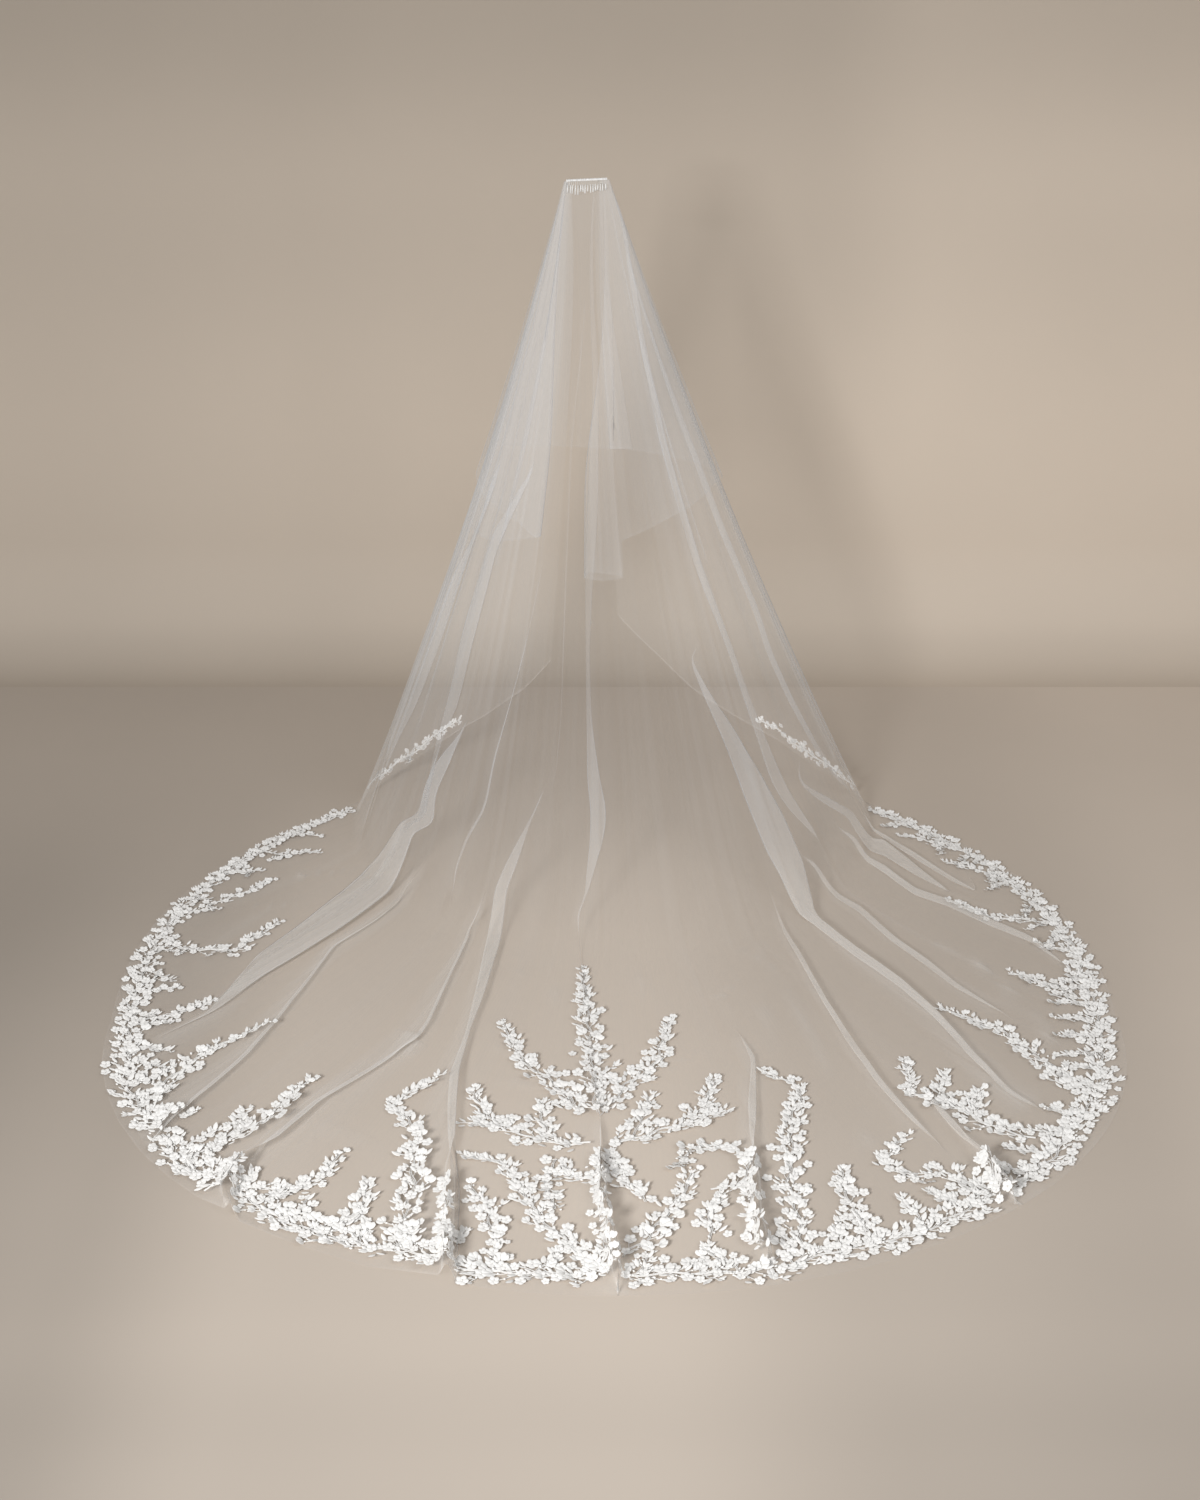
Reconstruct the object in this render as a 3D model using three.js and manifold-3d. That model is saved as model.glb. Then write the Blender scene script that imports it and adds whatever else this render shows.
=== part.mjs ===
// A royal-length bridal veil: a long tulle layer and a short one, gathered on a moulded hair comb, with
// floral corded lace laid along the hem of the long layer. Millimetres, +Z up.
// The origin is the middle of the comb's spine, where the comb is pushed into the hair. The veil falls
// 1553 mm to the floor, its train lies towards -Y, and the cutaway opening of the long layer faces +Y.
// Azimuths are in degrees about the fall line: 0 is the train side (-Y), 90 is +X, 180 is the opening.
import * as THREE from 'three';
import Module from 'manifold-3d';
import { mergeVertices } from 'three/addons/utils/BufferGeometryUtils.js';

// Driving dimensions
const floorDrop = 1553;            // comb spine to floor
const combWidth = 92;
const combTilt = 2.5;              // degrees, the comb hangs a little lower on the -X side
const spine = { thick: 3, height: 5 };
const teeth = { count: 20, width: 2, thick: 1.6, length: 23, tip: 0.55, joint: 0.5 };
const heading = { length: 94, thick: 8, top: 5, bottom: -5, clearance: 0.3 };
const tulle = 1.2;                 // modelled wall of each tulle layer
const laceThick = 1.0;
const seat = 0.3;                  // air between lace and tulle
const topSection = { halfWidth: 51, halfDepth: 6.5, start: -1, squareness: 4, squareDrop: 80 };
const shortSection = { spare: 1.7, flare: 0.026 };
const flare = { width: [0.30, 0.00005], near: [0.24, 0.000152], far: [0.13, 0], drift: 0.04 };
const tiltFades = 300;             // drop at which the comb's tilt has left the level sections
const hemCentre = { x: 60, y: -1250 };
const hemRadius = 1040;
const hemReach = { from: 90, to: 153, extra: 365, power: 1.4 };
const touchAzimuth = 92;           // beyond it the long layer ends above the floor
const slit = { left: -163, right: 176 };
const folded = { full: 1200, toFloor: 1250, lift: 0.5, standingHalf: 2.4, hemSpread: 1.1 };
const cutaway = { sideShare: 0.93, openingShare: 0.6, gore: 158 };

// Cutaway edge: how far below the comb the long layer ends, by azimuth off the train side
const cutawayEdge = [
  { azimuth: 92, drop: 1551 },
  { azimuth: 108, drop: 1532 },
  { azimuth: 120, drop: 1495 },
  { azimuth: 132, drop: 1432 },
  { azimuth: 145, drop: 1370 },
  { azimuth: 156, drop: 1300 },
  { azimuth: 164, drop: 1215 },
  { azimuth: 172, drop: 1140 },
  { azimuth: 180, drop: 1060 },
];

// Hem of the short layer, by azimuth, counted up through the opening side
const shortHem = [
  { azimuth: 8, drop: 785 },
  { azimuth: 37, drop: 735 },
  { azimuth: 66, drop: 700 },
  { azimuth: 120, drop: 690 },
  { azimuth: 158, drop: 665 },
  { azimuth: 209, drop: 650 },
  { azimuth: 242, drop: 640 },
  { azimuth: 288, drop: 710 },
  { azimuth: 323, drop: 755 },
  { azimuth: 333, drop: 785 },
];

const shortRows = [0, 0.04, 0.12, 0.25, 0.42, 0.6, 0.8, 1];
const shortColumns = 34;

// Folds of the long layer. water and hem are the crest's azimuths where it meets the floor and at the
// hem, the hem's about the train's own centre. hang, floor and end are crest heights in mm on the hanging
// part, at the floor and at the hem. Along the floor a crest has sunk flat at the share sinks, and a fold
// that stands at the hem starts to rise at the share rises. half is the crest's half width in degrees.
const folds = [
  { at: 'front left', water: -140, hem: 0, hang: 14, floor: 10, sinks: 0, end: 0, rises: 1, half: 4 },
  { at: 'side left', water: -108, hem: 0, hang: 16, floor: 12, sinks: 0, end: 0, rises: 1, half: 4 },
  { at: 'left band', water: -75, hem: -130, hang: 22, floor: 14, sinks: 0.3, end: 0, rises: 1, half: 3.5 },
  { at: 'left wide', water: -51, hem: -84, hang: 22, floor: 26, sinks: 0.6, end: 0, rises: 1, half: 4 },
  { at: 'left ridge', water: -38, hem: -62, hang: 12, floor: 16, sinks: 0.6, end: 0, rises: 1, half: 3 },
  { at: 'crumple', water: -30, hem: -46, hang: 8, floor: 12, sinks: 0.6, end: 30, rises: 0.72, half: 1.7 },
  { at: 'long', water: -23, hem: -17, hang: 12, floor: 22, sinks: 0.82, end: 30, rises: 0.6, half: 1.6 },
  { at: 'centre', water: -4, hem: 0.3, hang: 18, floor: 18, sinks: 0.16, end: 36, rises: 0.72, half: 1.5 },
  { at: 'right hem', water: 18, hem: 15.7, hang: 6, floor: 6, sinks: 0.3, end: 30, rises: 0.45, half: 1.5 },
  { at: 'broad', water: 33, hem: 43.8, hang: 22, floor: 30, sinks: 0.82, end: 32, rises: 0.72, half: 1.7 },
  { at: 'right ridge', water: 44, hem: 60, hang: 10, floor: 20, sinks: 0.6, end: 0, rises: 1, half: 3 },
  { at: 'right band 1', water: 53, hem: 78, hang: 22, floor: 16, sinks: 0.6, end: 0, rises: 1, half: 3.5 },
  { at: 'right band 2', water: 70, hem: 116, hang: 22, floor: 14, sinks: 0.3, end: 0, rises: 1, half: 3.5 },
  { at: 'side right', water: 105, hem: 0, hang: 16, floor: 12, sinks: 0, end: 0, rises: 1, half: 4 },
  { at: 'front right', water: 140, hem: 0, hang: 14, floor: 10, sinks: 0, end: 0, rises: 1, half: 4 },
];
const plainGores = [
  { water: -122, hem: 0 }, { water: -92, hem: -153 }, { water: -84, hem: -142 }, { water: -63, hem: -107 },
  { water: -44.5, hem: -73 }, { water: -12, hem: -8 }, { water: 8, hem: 8 }, { water: 26, hem: 30 },
  { water: 61, hem: 97 }, { water: 80, hem: 135 }, { water: 92, hem: 153 }, { water: 122, hem: 0 },
];
const hangRows = [0, 0.02, 0.06, 0.13, 0.22, 0.33, 0.45, 0.57, 0.7, 0.82, 0.92, 1];
const floorRows = [0.06, 0.16, 0.3, 0.45, 0.6, 0.72, 0.82, 0.91, 1];
const fanPower = 1.35;             // the train's meridians leave the fall line straight and then fan out

// Lace band along the hem, between the folds that stand up at the hem
const band = { margin: 14, width: 58, scallop: 12, pitch: 9, step: 3 };
const bandRuns = [
  { name: 'lace_border_left_side', from: -138, to: -51.5 },
  { name: 'lace_border_left', from: -42, to: -20.5 },
  { name: 'lace_border_centre_left', from: -13.6, to: -2.6 },
  { name: 'lace_border_centre_right', from: 3.2, to: 12.6 },
  { name: 'lace_border_right', from: 19, to: 40 },
  { name: 'lace_border_right_side', from: 49, to: 138 },
];
const edgeBand = { rows: [15, 19], left: [-137, -93], right: [93, 138] };

// Lace sprays on the train: each grows from its root on the band to its tip along one bend
const sprays = [
  { name: 'lace_centre', tip: [-6, -1010], bend: [6, -1340], root: [20, -1650], half: 40 },
  { name: 'lace_fan_left', tip: [-167, -1270], bend: [-120, -1470], root: [-35, -1610], half: 28 },
  { name: 'lace_fan_right', tip: [172, -1255], bend: [140, -1480], root: [72, -1610], half: 28 },
  { name: 'lace_scroll_left', tip: [-170, -1575], bend: [-160, -1735], root: [-10, -1768], half: 30 },
  { name: 'lace_scroll_right', tip: [256, -1525], bend: [230, -1735], root: [60, -1768], half: 30 },
  { name: 'lace_branch_left', tip: [-180, -1838], bend: [-100, -1860], root: [-45, -2130], half: 26 },
  { name: 'lace_branch_right', tip: [240, -1800], bend: [205, -1960], root: [105, -2125], half: 26 },
  { name: 'lace_spray_left_1', tip: [-290, -1530], bend: [-362, -1690], root: [-318, -2120], half: 32 },
  { name: 'lace_spray_right_1', tip: [368, -1500], bend: [420, -1690], root: [384, -2105], half: 32 },
  { name: 'lace_spray_left_2', tip: [-395, -1905], bend: [-405, -1990], root: [-420, -2035], half: 22 },
  { name: 'lace_spray_right_2', tip: [475, -1885], bend: [482, -1980], root: [505, -2070], half: 22 },
  { name: 'lace_spray_left_3', tip: [-470, -1790], bend: [-495, -1930], root: [-540, -1945], half: 24 },
  { name: 'lace_spray_right_3', tip: [600, -1740], bend: [555, -1870], root: [645, -1925], half: 24 },
  { name: 'lace_spray_left_4', tip: [-580, -1535], bend: [-618, -1725], root: [-700, -1765], half: 30 },
  { name: 'lace_spray_right_4', tip: [675, -1450], bend: [705, -1640], root: [820, -1720], half: 30 },
  { name: 'lace_spray_left_5', tip: [-660, -1300], bend: [-775, -1390], root: [-830, -1560], half: 24 },
  { name: 'lace_spray_right_5', tip: [760, -1205], bend: [880, -1310], root: [950, -1490], half: 24 },
  { name: 'lace_spray_left_6', tip: [-795, -1165], bend: [-840, -1215], root: [-880, -1235], half: 18 },
  { name: 'lace_spray_right_6', tip: [915, -1000], bend: [945, -1040], root: [975, -1085], half: 18 },
  { name: 'lace_spray_left_7', tip: [-705, -765], bend: [-760, -880], root: [-835, -880], half: 22 },
  { name: 'lace_spray_right_7', tip: [845, -640], bend: [890, -710], root: [940, -725], half: 22 },
];
const sprayShape = { steps: 12, lobes: 4, lobeDepth: 0.22, tipShare: 0.25, rootShare: 0.7 };
const sprayFull = { at: 0.8, until: 0.75 };   // shares of the stem between which a spray is widest

const materials = {
  plastic: new THREE.MeshStandardMaterial({ color: '#e9e9e4', roughness: 0.2, metalness: 0 }),
  tulle: new THREE.MeshStandardMaterial({ color: '#f1efea', roughness: 0.8, metalness: 0 }),
  gather: new THREE.MeshStandardMaterial({ color: '#f2f0ea', roughness: 0.85, metalness: 0 }),
  lace: new THREE.MeshStandardMaterial({ color: '#f7f6f2', roughness: 0.7, metalness: 0 }),
};

const radians = THREE.MathUtils.degToRad;
const smoothstep = THREE.MathUtils.smoothstep;
const mix = THREE.MathUtils.lerp;

// Value of one column of a table, straight between its rows
function tableValue(table, key, at, column) {
  const last = table.length - 1;
  if (at <= table[0][key]) return table[0][column];
  for (let i = 0; i < last; i += 1) {
    const a = table[i];
    const b = table[i + 1];
    if (at <= b[key]) return mix(a[column], b[column], (at - a[key]) / (b[key] - a[key]));
  }
  return table[last][column];
}

// Level section of the hanging veil at a drop below the comb: a flat rounded loop at the comb that
// opens into an ellipse, deeper towards the train than towards the opening. The normal points outwards.
function levelSection(azimuth, drop, spare) {
  const s = Math.sin(radians(azimuth));
  const c = Math.cos(radians(azimuth));
  const halfWidth = topSection.halfWidth + spare + flare.width[0] * drop + flare.width[1] * drop * drop;
  const [linear, square] = c > 0 ? flare.near : flare.far;
  const halfDepth = topSection.halfDepth + spare + linear * drop + square * drop * drop;
  const power = 2 / (2 + topSection.squareness * Math.exp(-drop / topSection.squareDrop));
  const x = halfWidth * Math.sign(s) * Math.abs(s) ** power;
  const y = -halfDepth * Math.sign(c) * Math.abs(c) ** power;
  const normal = new THREE.Vector3(s / halfWidth, -c / halfDepth, 0).normalize();
  const tilt = Math.tan(radians(combTilt)) * x * (1 - smoothstep(drop, 0, tiltFades));
  const point = new THREE.Vector3(x + flare.drift * drop, y, topSection.start - drop + tilt);
  return { point, normal };
}

// Hem outline of the train on the floor, by azimuth about the train's centre
function hemPoint(azimuth, inset = 0) {
  const far = Math.max(0, Math.abs(azimuth) - hemReach.from) / (hemReach.to - hemReach.from);
  const radius = hemRadius + hemReach.extra * far ** hemReach.power - inset;
  const x = hemCentre.x + radius * Math.sin(radians(azimuth));
  return new THREE.Vector2(x, hemCentre.y - radius * Math.cos(radians(azimuth)));
}

// The meridians of the long layer's grid: one at each fold's crest and two feet, and plain ones between
function meridians() {
  const list = plainGores.map((gore) => ({ ...gore, crest: 0, fold: null }));
  for (const fold of folds) {
    const hemHalf = fold.end > 0 ? fold.half : fold.half * folded.hemSpread;
    const waterHalf = fold.end > 0 ? folded.standingHalf : fold.half;
    list.push({ water: fold.water, hem: fold.hem, crest: 1, fold });
    list.push({ water: fold.water - waterHalf, hem: fold.hem - hemHalf, crest: 0, fold });
    list.push({ water: fold.water + waterHalf, hem: fold.hem + hemHalf, crest: 0, fold });
  }
  list.push({ water: slit.left, hem: 0, crest: 0, fold: null });
  list.push({ water: slit.right, hem: 0, crest: 0, fold: null });
  list.push({ water: cutaway.gore, hem: 0, crest: 0, fold: null });
  return list.sort((a, b) => a.water - b.water);
}

// Height of a fold's crest on the floor, at a share of the run from the fall line to the hem
function crestHeight(fold, run) {
  const sinking = run < fold.sinks ? fold.floor * (1 - run / fold.sinks) : 0;
  const rising = run > fold.rises ? fold.end * (run - fold.rises) / (1 - fold.rises) : 0;
  return sinking + rising;
}

// One point of the long layer's outer face
function trainPoint(meridian, row) {
  const onFloor = row >= hangRows.length;
  const away = Math.abs(meridian.water);
  const { fold, crest } = meridian;
  const floorLevel = -floorDrop + tulle;
  if (away > touchAzimuth) {
    const share = mix(cutaway.sideShare, cutaway.openingShare, smoothstep(away, touchAzimuth, 180));
    const part = onFloor ? mix(share, 1, floorRows[row - hangRows.length]) : share * hangRows[row];
    const drop = tableValue(cutawayEdge, 'azimuth', away, 'drop') * part - topSection.start - tulle;
    const { point, normal } = levelSection(meridian.water, Math.max(drop, 0), 0);
    const raise = crest ? fold.hang * smoothstep(drop, 0, folded.full) : 0;
    return point.addScaledVector(normal, raise);
  }
  const fullDrop = floorDrop + topSection.start - tulle;
  if (!onFloor) {
    const drop = fullDrop * hangRows[row];
    const { point, normal } = levelSection(meridian.water, drop, 0);
    if (crest) {
      const hangHeight = fold.hang * smoothstep(drop, 0, folded.full);
      const height = mix(hangHeight, fold.floor, smoothstep(drop, folded.toFloor, fullDrop));
      point.addScaledVector(normal, height);
      if (hangRows[row] === 1) point.z += fold.floor * folded.lift;
    }
    return point;
  }
  const run = floorRows[row - hangRows.length];
  const foot = levelSection(meridian.water, fullDrop, 0).point;
  const hem = hemPoint(meridian.hem);
  const height = crest ? crestHeight(fold, run) : 0;
  const x = mix(foot.x, hem.x, run ** fanPower);
  return new THREE.Vector3(x, mix(foot.y, hem.y, run), floorLevel + height);
}

// One point of the short layer's outer face
function shortPoint(azimuth, share) {
  const drop = tableValue(shortHem, 'azimuth', azimuth, 'drop') * share;
  const spare = shortSection.spare + shortSection.flare * drop;
  return levelSection(azimuth, drop, spare).point;
}

// Unit normals of a grid of points, outwards for a grid whose columns run from -X through -Y to +X
function gridNormals(grid) {
  return grid.map((line, i) => line.map((point, j) => {
    const across = grid[Math.min(i + 1, grid.length - 1)][j].clone().sub(grid[Math.max(i - 1, 0)][j]);
    const along = line[Math.min(j + 1, line.length - 1)].clone().sub(line[Math.max(j - 1, 0)]);
    return along.cross(across).normalize();
  }));
}

// A closed wall between two offsets of a grid of points
function wallGeometry(grid, outer, inner) {
  const normals = gridNormals(grid);
  const columns = grid.length;
  const rows = grid[0].length;
  const positions = [];
  for (const offset of [outer, inner]) {
    for (let i = 0; i < columns; i += 1) {
      for (let j = 0; j < rows; j += 1) {
        const point = grid[i][j].clone().addScaledVector(normals[i][j], offset);
        positions.push(point.x, point.y, point.z);
      }
    }
  }
  const index = [];
  const at = (side, i, j) => (side * columns + i) * rows + j;
  const quad = (a, b, c, d) => index.push(a, b, c, a, c, d);
  for (let i = 0; i < columns - 1; i += 1) {
    for (let j = 0; j < rows - 1; j += 1) {
      quad(at(0, i, j), at(0, i, j + 1), at(0, i + 1, j + 1), at(0, i + 1, j));
      quad(at(1, i, j), at(1, i + 1, j), at(1, i + 1, j + 1), at(1, i, j + 1));
    }
  }
  const last = columns - 1;
  const hem = rows - 1;
  for (let i = 0; i < last; i += 1) {
    quad(at(0, i, 0), at(0, i + 1, 0), at(1, i + 1, 0), at(1, i, 0));
    quad(at(0, i + 1, hem), at(0, i, hem), at(1, i, hem), at(1, i + 1, hem));
  }
  for (let j = 0; j < hem; j += 1) {
    quad(at(0, 0, j + 1), at(0, 0, j), at(1, 0, j), at(1, 0, j + 1));
    quad(at(0, last, j), at(0, last, j + 1), at(1, last, j + 1), at(1, last, j));
  }
  const geometry = new THREE.BufferGeometry();
  geometry.setAttribute('position', new THREE.Float32BufferAttribute(positions, 3));
  geometry.setIndex(index);
  geometry.computeVertexNormals();
  return geometry;
}

const meridianList = meridians();
const rowCount = hangRows.length + floorRows.length;
const trainGrid = meridianList.map((m) => Array.from({ length: rowCount }, (_, row) => trainPoint(m, row)));

function shortGrid() {
  const from = shortHem[0].azimuth;
  const to = shortHem[shortHem.length - 1].azimuth;
  const grid = [];
  for (let i = 0; i <= shortColumns; i += 1) {
    const azimuth = mix(from, to, i / shortColumns);
    grid.push(shortRows.map((share) => shortPoint(azimuth, share)));
  }
  return grid;
}

// A band of lace that follows the long layer's grid between two meridians and two rows
function edgeBandGeometry([from, to]) {
  const [firstRow, lastRow] = edgeBand.rows;
  const normals = gridNormals(trainGrid);
  const grid = [];
  meridianList.forEach((meridian, i) => {
    if (meridian.water < from || meridian.water > to) return;
    const line = [];
    for (let row = firstRow; row <= lastRow; row += 1) {
      line.push(trainGrid[i][row].clone().addScaledVector(normals[i][row], seat));
    }
    grid.push(line);
  });
  return wallGeometry(grid, laceThick, 0);
}

// A flat plate of lace on the train from its outline
function plateGeometry(outline) {
  const geometry = new THREE.ExtrudeGeometry(new THREE.Shape(outline), {
    depth: laceThick,
    bevelEnabled: false,
    curveSegments: 1,
  });
  return geometry.translate(0, 0, -floorDrop + tulle + seat);
}

function bandGeometry({ from, to }) {
  const steps = Math.max(4, Math.round((to - from) / band.step));
  const outer = [];
  const inner = [];
  for (let i = 0; i <= steps; i += 1) {
    const azimuth = mix(from, to, i / steps);
    const scallop = band.scallop * Math.abs(Math.sin(Math.PI * azimuth / band.pitch));
    outer.push(hemPoint(azimuth, band.margin));
    inner.push(hemPoint(azimuth, band.margin + band.width + scallop));
  }
  return plateGeometry([...outer, ...inner.reverse()]);
}

function sprayGeometry({ tip, bend, root, half }) {
  const stem = new THREE.QuadraticBezierCurve(
    new THREE.Vector2(...tip), new THREE.Vector2(...bend), new THREE.Vector2(...root));
  const left = [];
  const right = [];
  for (let i = 0; i <= sprayShape.steps; i += 1) {
    const t = i / sprayShape.steps;
    const point = stem.getPoint(t);
    const along = stem.getTangent(t);
    const swell = mix(sprayShape.tipShare, 1, Math.sin(Math.PI * Math.min(t / sprayFull.at, 1) / 2));
    const taper = mix(1, sprayShape.rootShare, smoothstep(t, sprayFull.until, 1));
    const lobes = 1 - sprayShape.lobeDepth * Math.abs(Math.sin(Math.PI * t * sprayShape.lobes));
    const width = half * swell * taper * lobes;
    left.push(new THREE.Vector2(point.x - along.y * width, point.y + along.x * width));
    right.push(new THREE.Vector2(point.x + along.y * width, point.y - along.x * width));
  }
  return plateGeometry([...left, ...right.reverse()]);
}

// The stitched heading: a channel that closes over the comb's spine
function headingGeometry() {
  const outer = heading.thick / 2;
  const inner = spine.thick / 2 + heading.clearance;
  const roof = spine.height / 2 + heading.clearance;
  const shape = new THREE.Shape();
  shape.moveTo(outer, heading.bottom);
  shape.lineTo(outer, heading.top - outer);
  shape.absarc(0, heading.top - outer, outer, 0, Math.PI, false);
  shape.lineTo(-outer, heading.bottom);
  shape.lineTo(-inner, heading.bottom);
  shape.lineTo(-inner, roof);
  shape.lineTo(inner, roof);
  shape.lineTo(inner, heading.bottom);
  const geometry = new THREE.ExtrudeGeometry(shape, {
    depth: heading.length,
    bevelEnabled: false,
    curveSegments: 8,
  });
  geometry.translate(0, 0, -heading.length / 2);
  return geometry.applyMatrix4(new THREE.Matrix4().makeBasis(
    new THREE.Vector3(0, 1, 0), new THREE.Vector3(0, 0, 1), new THREE.Vector3(1, 0, 0)));
}

const wasm = await Module();
wasm.setup();

function solidFrom(geometry) {
  const bare = geometry.clone();
  bare.deleteAttribute('normal');
  bare.deleteAttribute('uv');
  const merged = mergeVertices(bare, 1e-4);
  return new wasm.Manifold(new wasm.Mesh({
    numProp: 3,
    vertProperties: new Float32Array(merged.attributes.position.array),
    triVerts: new Uint32Array(merged.index.array),
  }));
}

function geometryFrom(solid) {
  const mesh = solid.getMesh();
  const geometry = new THREE.BufferGeometry();
  geometry.setAttribute('position', new THREE.BufferAttribute(mesh.vertProperties, 3));
  geometry.setIndex(new THREE.BufferAttribute(mesh.triVerts, 1));
  geometry.computeVertexNormals();
  return geometry;
}

// A comb tooth: a bar that narrows to a rounded tip
function toothGeometry(x) {
  const geometry = new THREE.BoxGeometry(teeth.width, teeth.thick, teeth.length, 1, 1, 2);
  const position = geometry.attributes.position;
  for (let i = 0; i < position.count; i += 1) {
    const down = 0.5 - position.getZ(i) / teeth.length;
    const scale = mix(1, teeth.tip, down * down);
    position.setX(i, position.getX(i) * scale);
    position.setY(i, position.getY(i) * scale);
  }
  return geometry.translate(x, 0, -spine.height / 2 - teeth.length / 2 + teeth.joint);
}

function combGeometry() {
  let comb = solidFrom(new THREE.BoxGeometry(combWidth, spine.thick, spine.height));
  const pitch = (combWidth - teeth.width) / (teeth.count - 1);
  for (let i = 0; i < teeth.count; i += 1) {
    const x = -combWidth / 2 + teeth.width / 2 + i * pitch;
    comb = comb.add(solidFrom(toothGeometry(x)));
  }
  return geometryFrom(comb);
}

const veil = new THREE.Group();

function addPiece(parent, name, geometry, material) {
  const mesh = new THREE.Mesh(geometry, material);
  mesh.name = name;
  parent.add(mesh);
  return mesh;
}

const headPiece = new THREE.Group();
headPiece.rotation.y = -radians(combTilt);
addPiece(headPiece, 'comb', combGeometry(), materials.plastic);
addPiece(headPiece, 'gathered_heading', headingGeometry(), materials.gather);
veil.add(headPiece);

addPiece(veil, 'train_layer', wallGeometry(trainGrid, 0, -tulle), materials.tulle);
addPiece(veil, 'short_layer', wallGeometry(shortGrid(), 0, -tulle), materials.tulle);
for (const run of bandRuns) addPiece(veil, run.name, bandGeometry(run), materials.lace);
addPiece(veil, 'lace_edge_left', edgeBandGeometry(edgeBand.left), materials.lace);
addPiece(veil, 'lace_edge_right', edgeBandGeometry(edgeBand.right), materials.lace);
for (const spray of sprays) addPiece(veil, spray.name, sprayGeometry(spray), materials.lace);

export default veil;
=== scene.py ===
# Bridal veil seen from behind its train: a long tulle layer and a short one, gathered on a hair comb,
# with floral corded lace along the hem. Metres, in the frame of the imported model: +Z up, train to -Y.
import math
import random
from collections import defaultdict

import bmesh
import bpy
import numpy as np
from mathutils import Matrix, Vector
from mathutils.bvhtree import BVHTree


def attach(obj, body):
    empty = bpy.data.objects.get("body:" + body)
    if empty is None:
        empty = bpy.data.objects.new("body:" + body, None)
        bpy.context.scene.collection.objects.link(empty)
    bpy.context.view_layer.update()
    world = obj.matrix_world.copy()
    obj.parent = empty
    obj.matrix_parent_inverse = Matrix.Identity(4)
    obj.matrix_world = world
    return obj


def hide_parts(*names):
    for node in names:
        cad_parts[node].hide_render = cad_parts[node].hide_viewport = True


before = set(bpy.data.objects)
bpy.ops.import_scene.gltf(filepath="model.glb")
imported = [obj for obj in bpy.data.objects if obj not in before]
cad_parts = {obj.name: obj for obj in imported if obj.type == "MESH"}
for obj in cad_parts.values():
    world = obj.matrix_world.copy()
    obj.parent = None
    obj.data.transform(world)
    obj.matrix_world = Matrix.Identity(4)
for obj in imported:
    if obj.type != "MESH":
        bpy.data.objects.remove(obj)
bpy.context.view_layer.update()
random.seed(7)

# Camera and photo frame. Fold lines and lace stems below are placed by the photo's own pixels.
view = {
    "at": (0.031, -5.913, 0.742),
    "tiltDown": 20.0,                      # degrees
    "lens": 60.0,                          # mm
    "sensor": 36,                          # mm along the photo's long side
    "photo": (1200, 1500),
    "reach": (4.6, 7.0),                   # metres from the camera between which the near side lies
}

# The veil's form, the same sizes as the CAD's in metres
veil = {
    "drop": 1.5508,                        # top of the tulle to the floor
    "start": 0.001,
    "comb": {"halfWidth": 0.051, "halfDepth": 0.0065, "square": 4.0, "squareDrop": 0.08, "tilt": 2.5},
    "flareWide": (0.30, 0.05),
    "flareNear": (0.24, 0.152),
    "flareFar": 0.13,
    "drift": 0.04,
    "slit": (-163.0, 176.0),               # azimuths of the two front edges, 0 is the train side
    "touch": 92.0,                         # azimuth past which the long layer ends above the floor
    "lastHem": 153.0,
    "hemCentre": (0.060, -1.250),
    "hemRadius": 1.040,
    "hemExtra": 0.365,
    "fan": 1.35,
    "flute": 0.0045,                       # depth of the soft flutes per metre of fall
    "bend": 0.14,                          # share of fall and train that is rounded where they meet
}
# Where the long layer ends above the floor, by azimuth off the train side
cutawayEdge = {
    "azimuth": (92, 108, 120, 132, 145, 156, 164, 172, 180),
    "drop": (1.551, 1.532, 1.495, 1.432, 1.370, 1.300, 1.215, 1.140, 1.060),
}


def smooth(x, lo, hi):
    t = np.clip((np.asarray(x, float) - lo) / (hi - lo), 0, 1)
    return t * t * (3 - 2 * t)


def unit(vectors):
    return vectors / np.maximum(np.linalg.norm(vectors, axis=-1, keepdims=True), 1e-12)


# Level section of the hanging veil: a flat loop at the comb that opens into an ellipse
def levelSection(azimuth, drop, spare=0.0):
    turn = np.radians(azimuth)
    s, c = np.sin(turn), np.cos(turn)
    comb = veil["comb"]
    wide = comb["halfWidth"] + spare + veil["flareWide"][0] * drop + veil["flareWide"][1] * drop ** 2
    near = veil["flareNear"][0] * drop + veil["flareNear"][1] * drop ** 2
    deep = comb["halfDepth"] + spare + np.where(c > 0, near, veil["flareFar"] * drop)
    power = 2 / (2 + comb["square"] * np.exp(-drop / comb["squareDrop"]))
    x = wide * np.sign(s) * np.abs(s) ** power
    y = -deep * np.sign(c) * np.abs(c) ** power
    tilt = math.tan(math.radians(comb["tilt"])) * x * (1 - smooth(drop, 0, 0.3))
    point = np.stack([x + veil["drift"] * drop, y, tilt - veil["start"] - drop], -1)
    normal = unit(np.stack([s / wide, -c / deep, 0 * s], -1))
    return point, normal


# The hem on the floor, or a line inside it, by azimuth round the hem's own centre
def hemPoint(azimuth, inset=0.0):
    reach = np.clip((np.abs(azimuth) - 90) / (veil["lastHem"] - 90), 0, 1)
    radius = veil["hemRadius"] + veil["hemExtra"] * reach ** 1.4 - inset
    turn = np.radians(azimuth)
    x = veil["hemCentre"][0] + radius * np.sin(turn)
    return np.stack([x, veil["hemCentre"][1] - radius * np.cos(turn)], -1)


# Share of the cloth with s below 1 where the long layer ends above the floor
def fallShare(away):
    return 1 - 0.4 * smooth(away, veil["touch"], 180)


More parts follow.
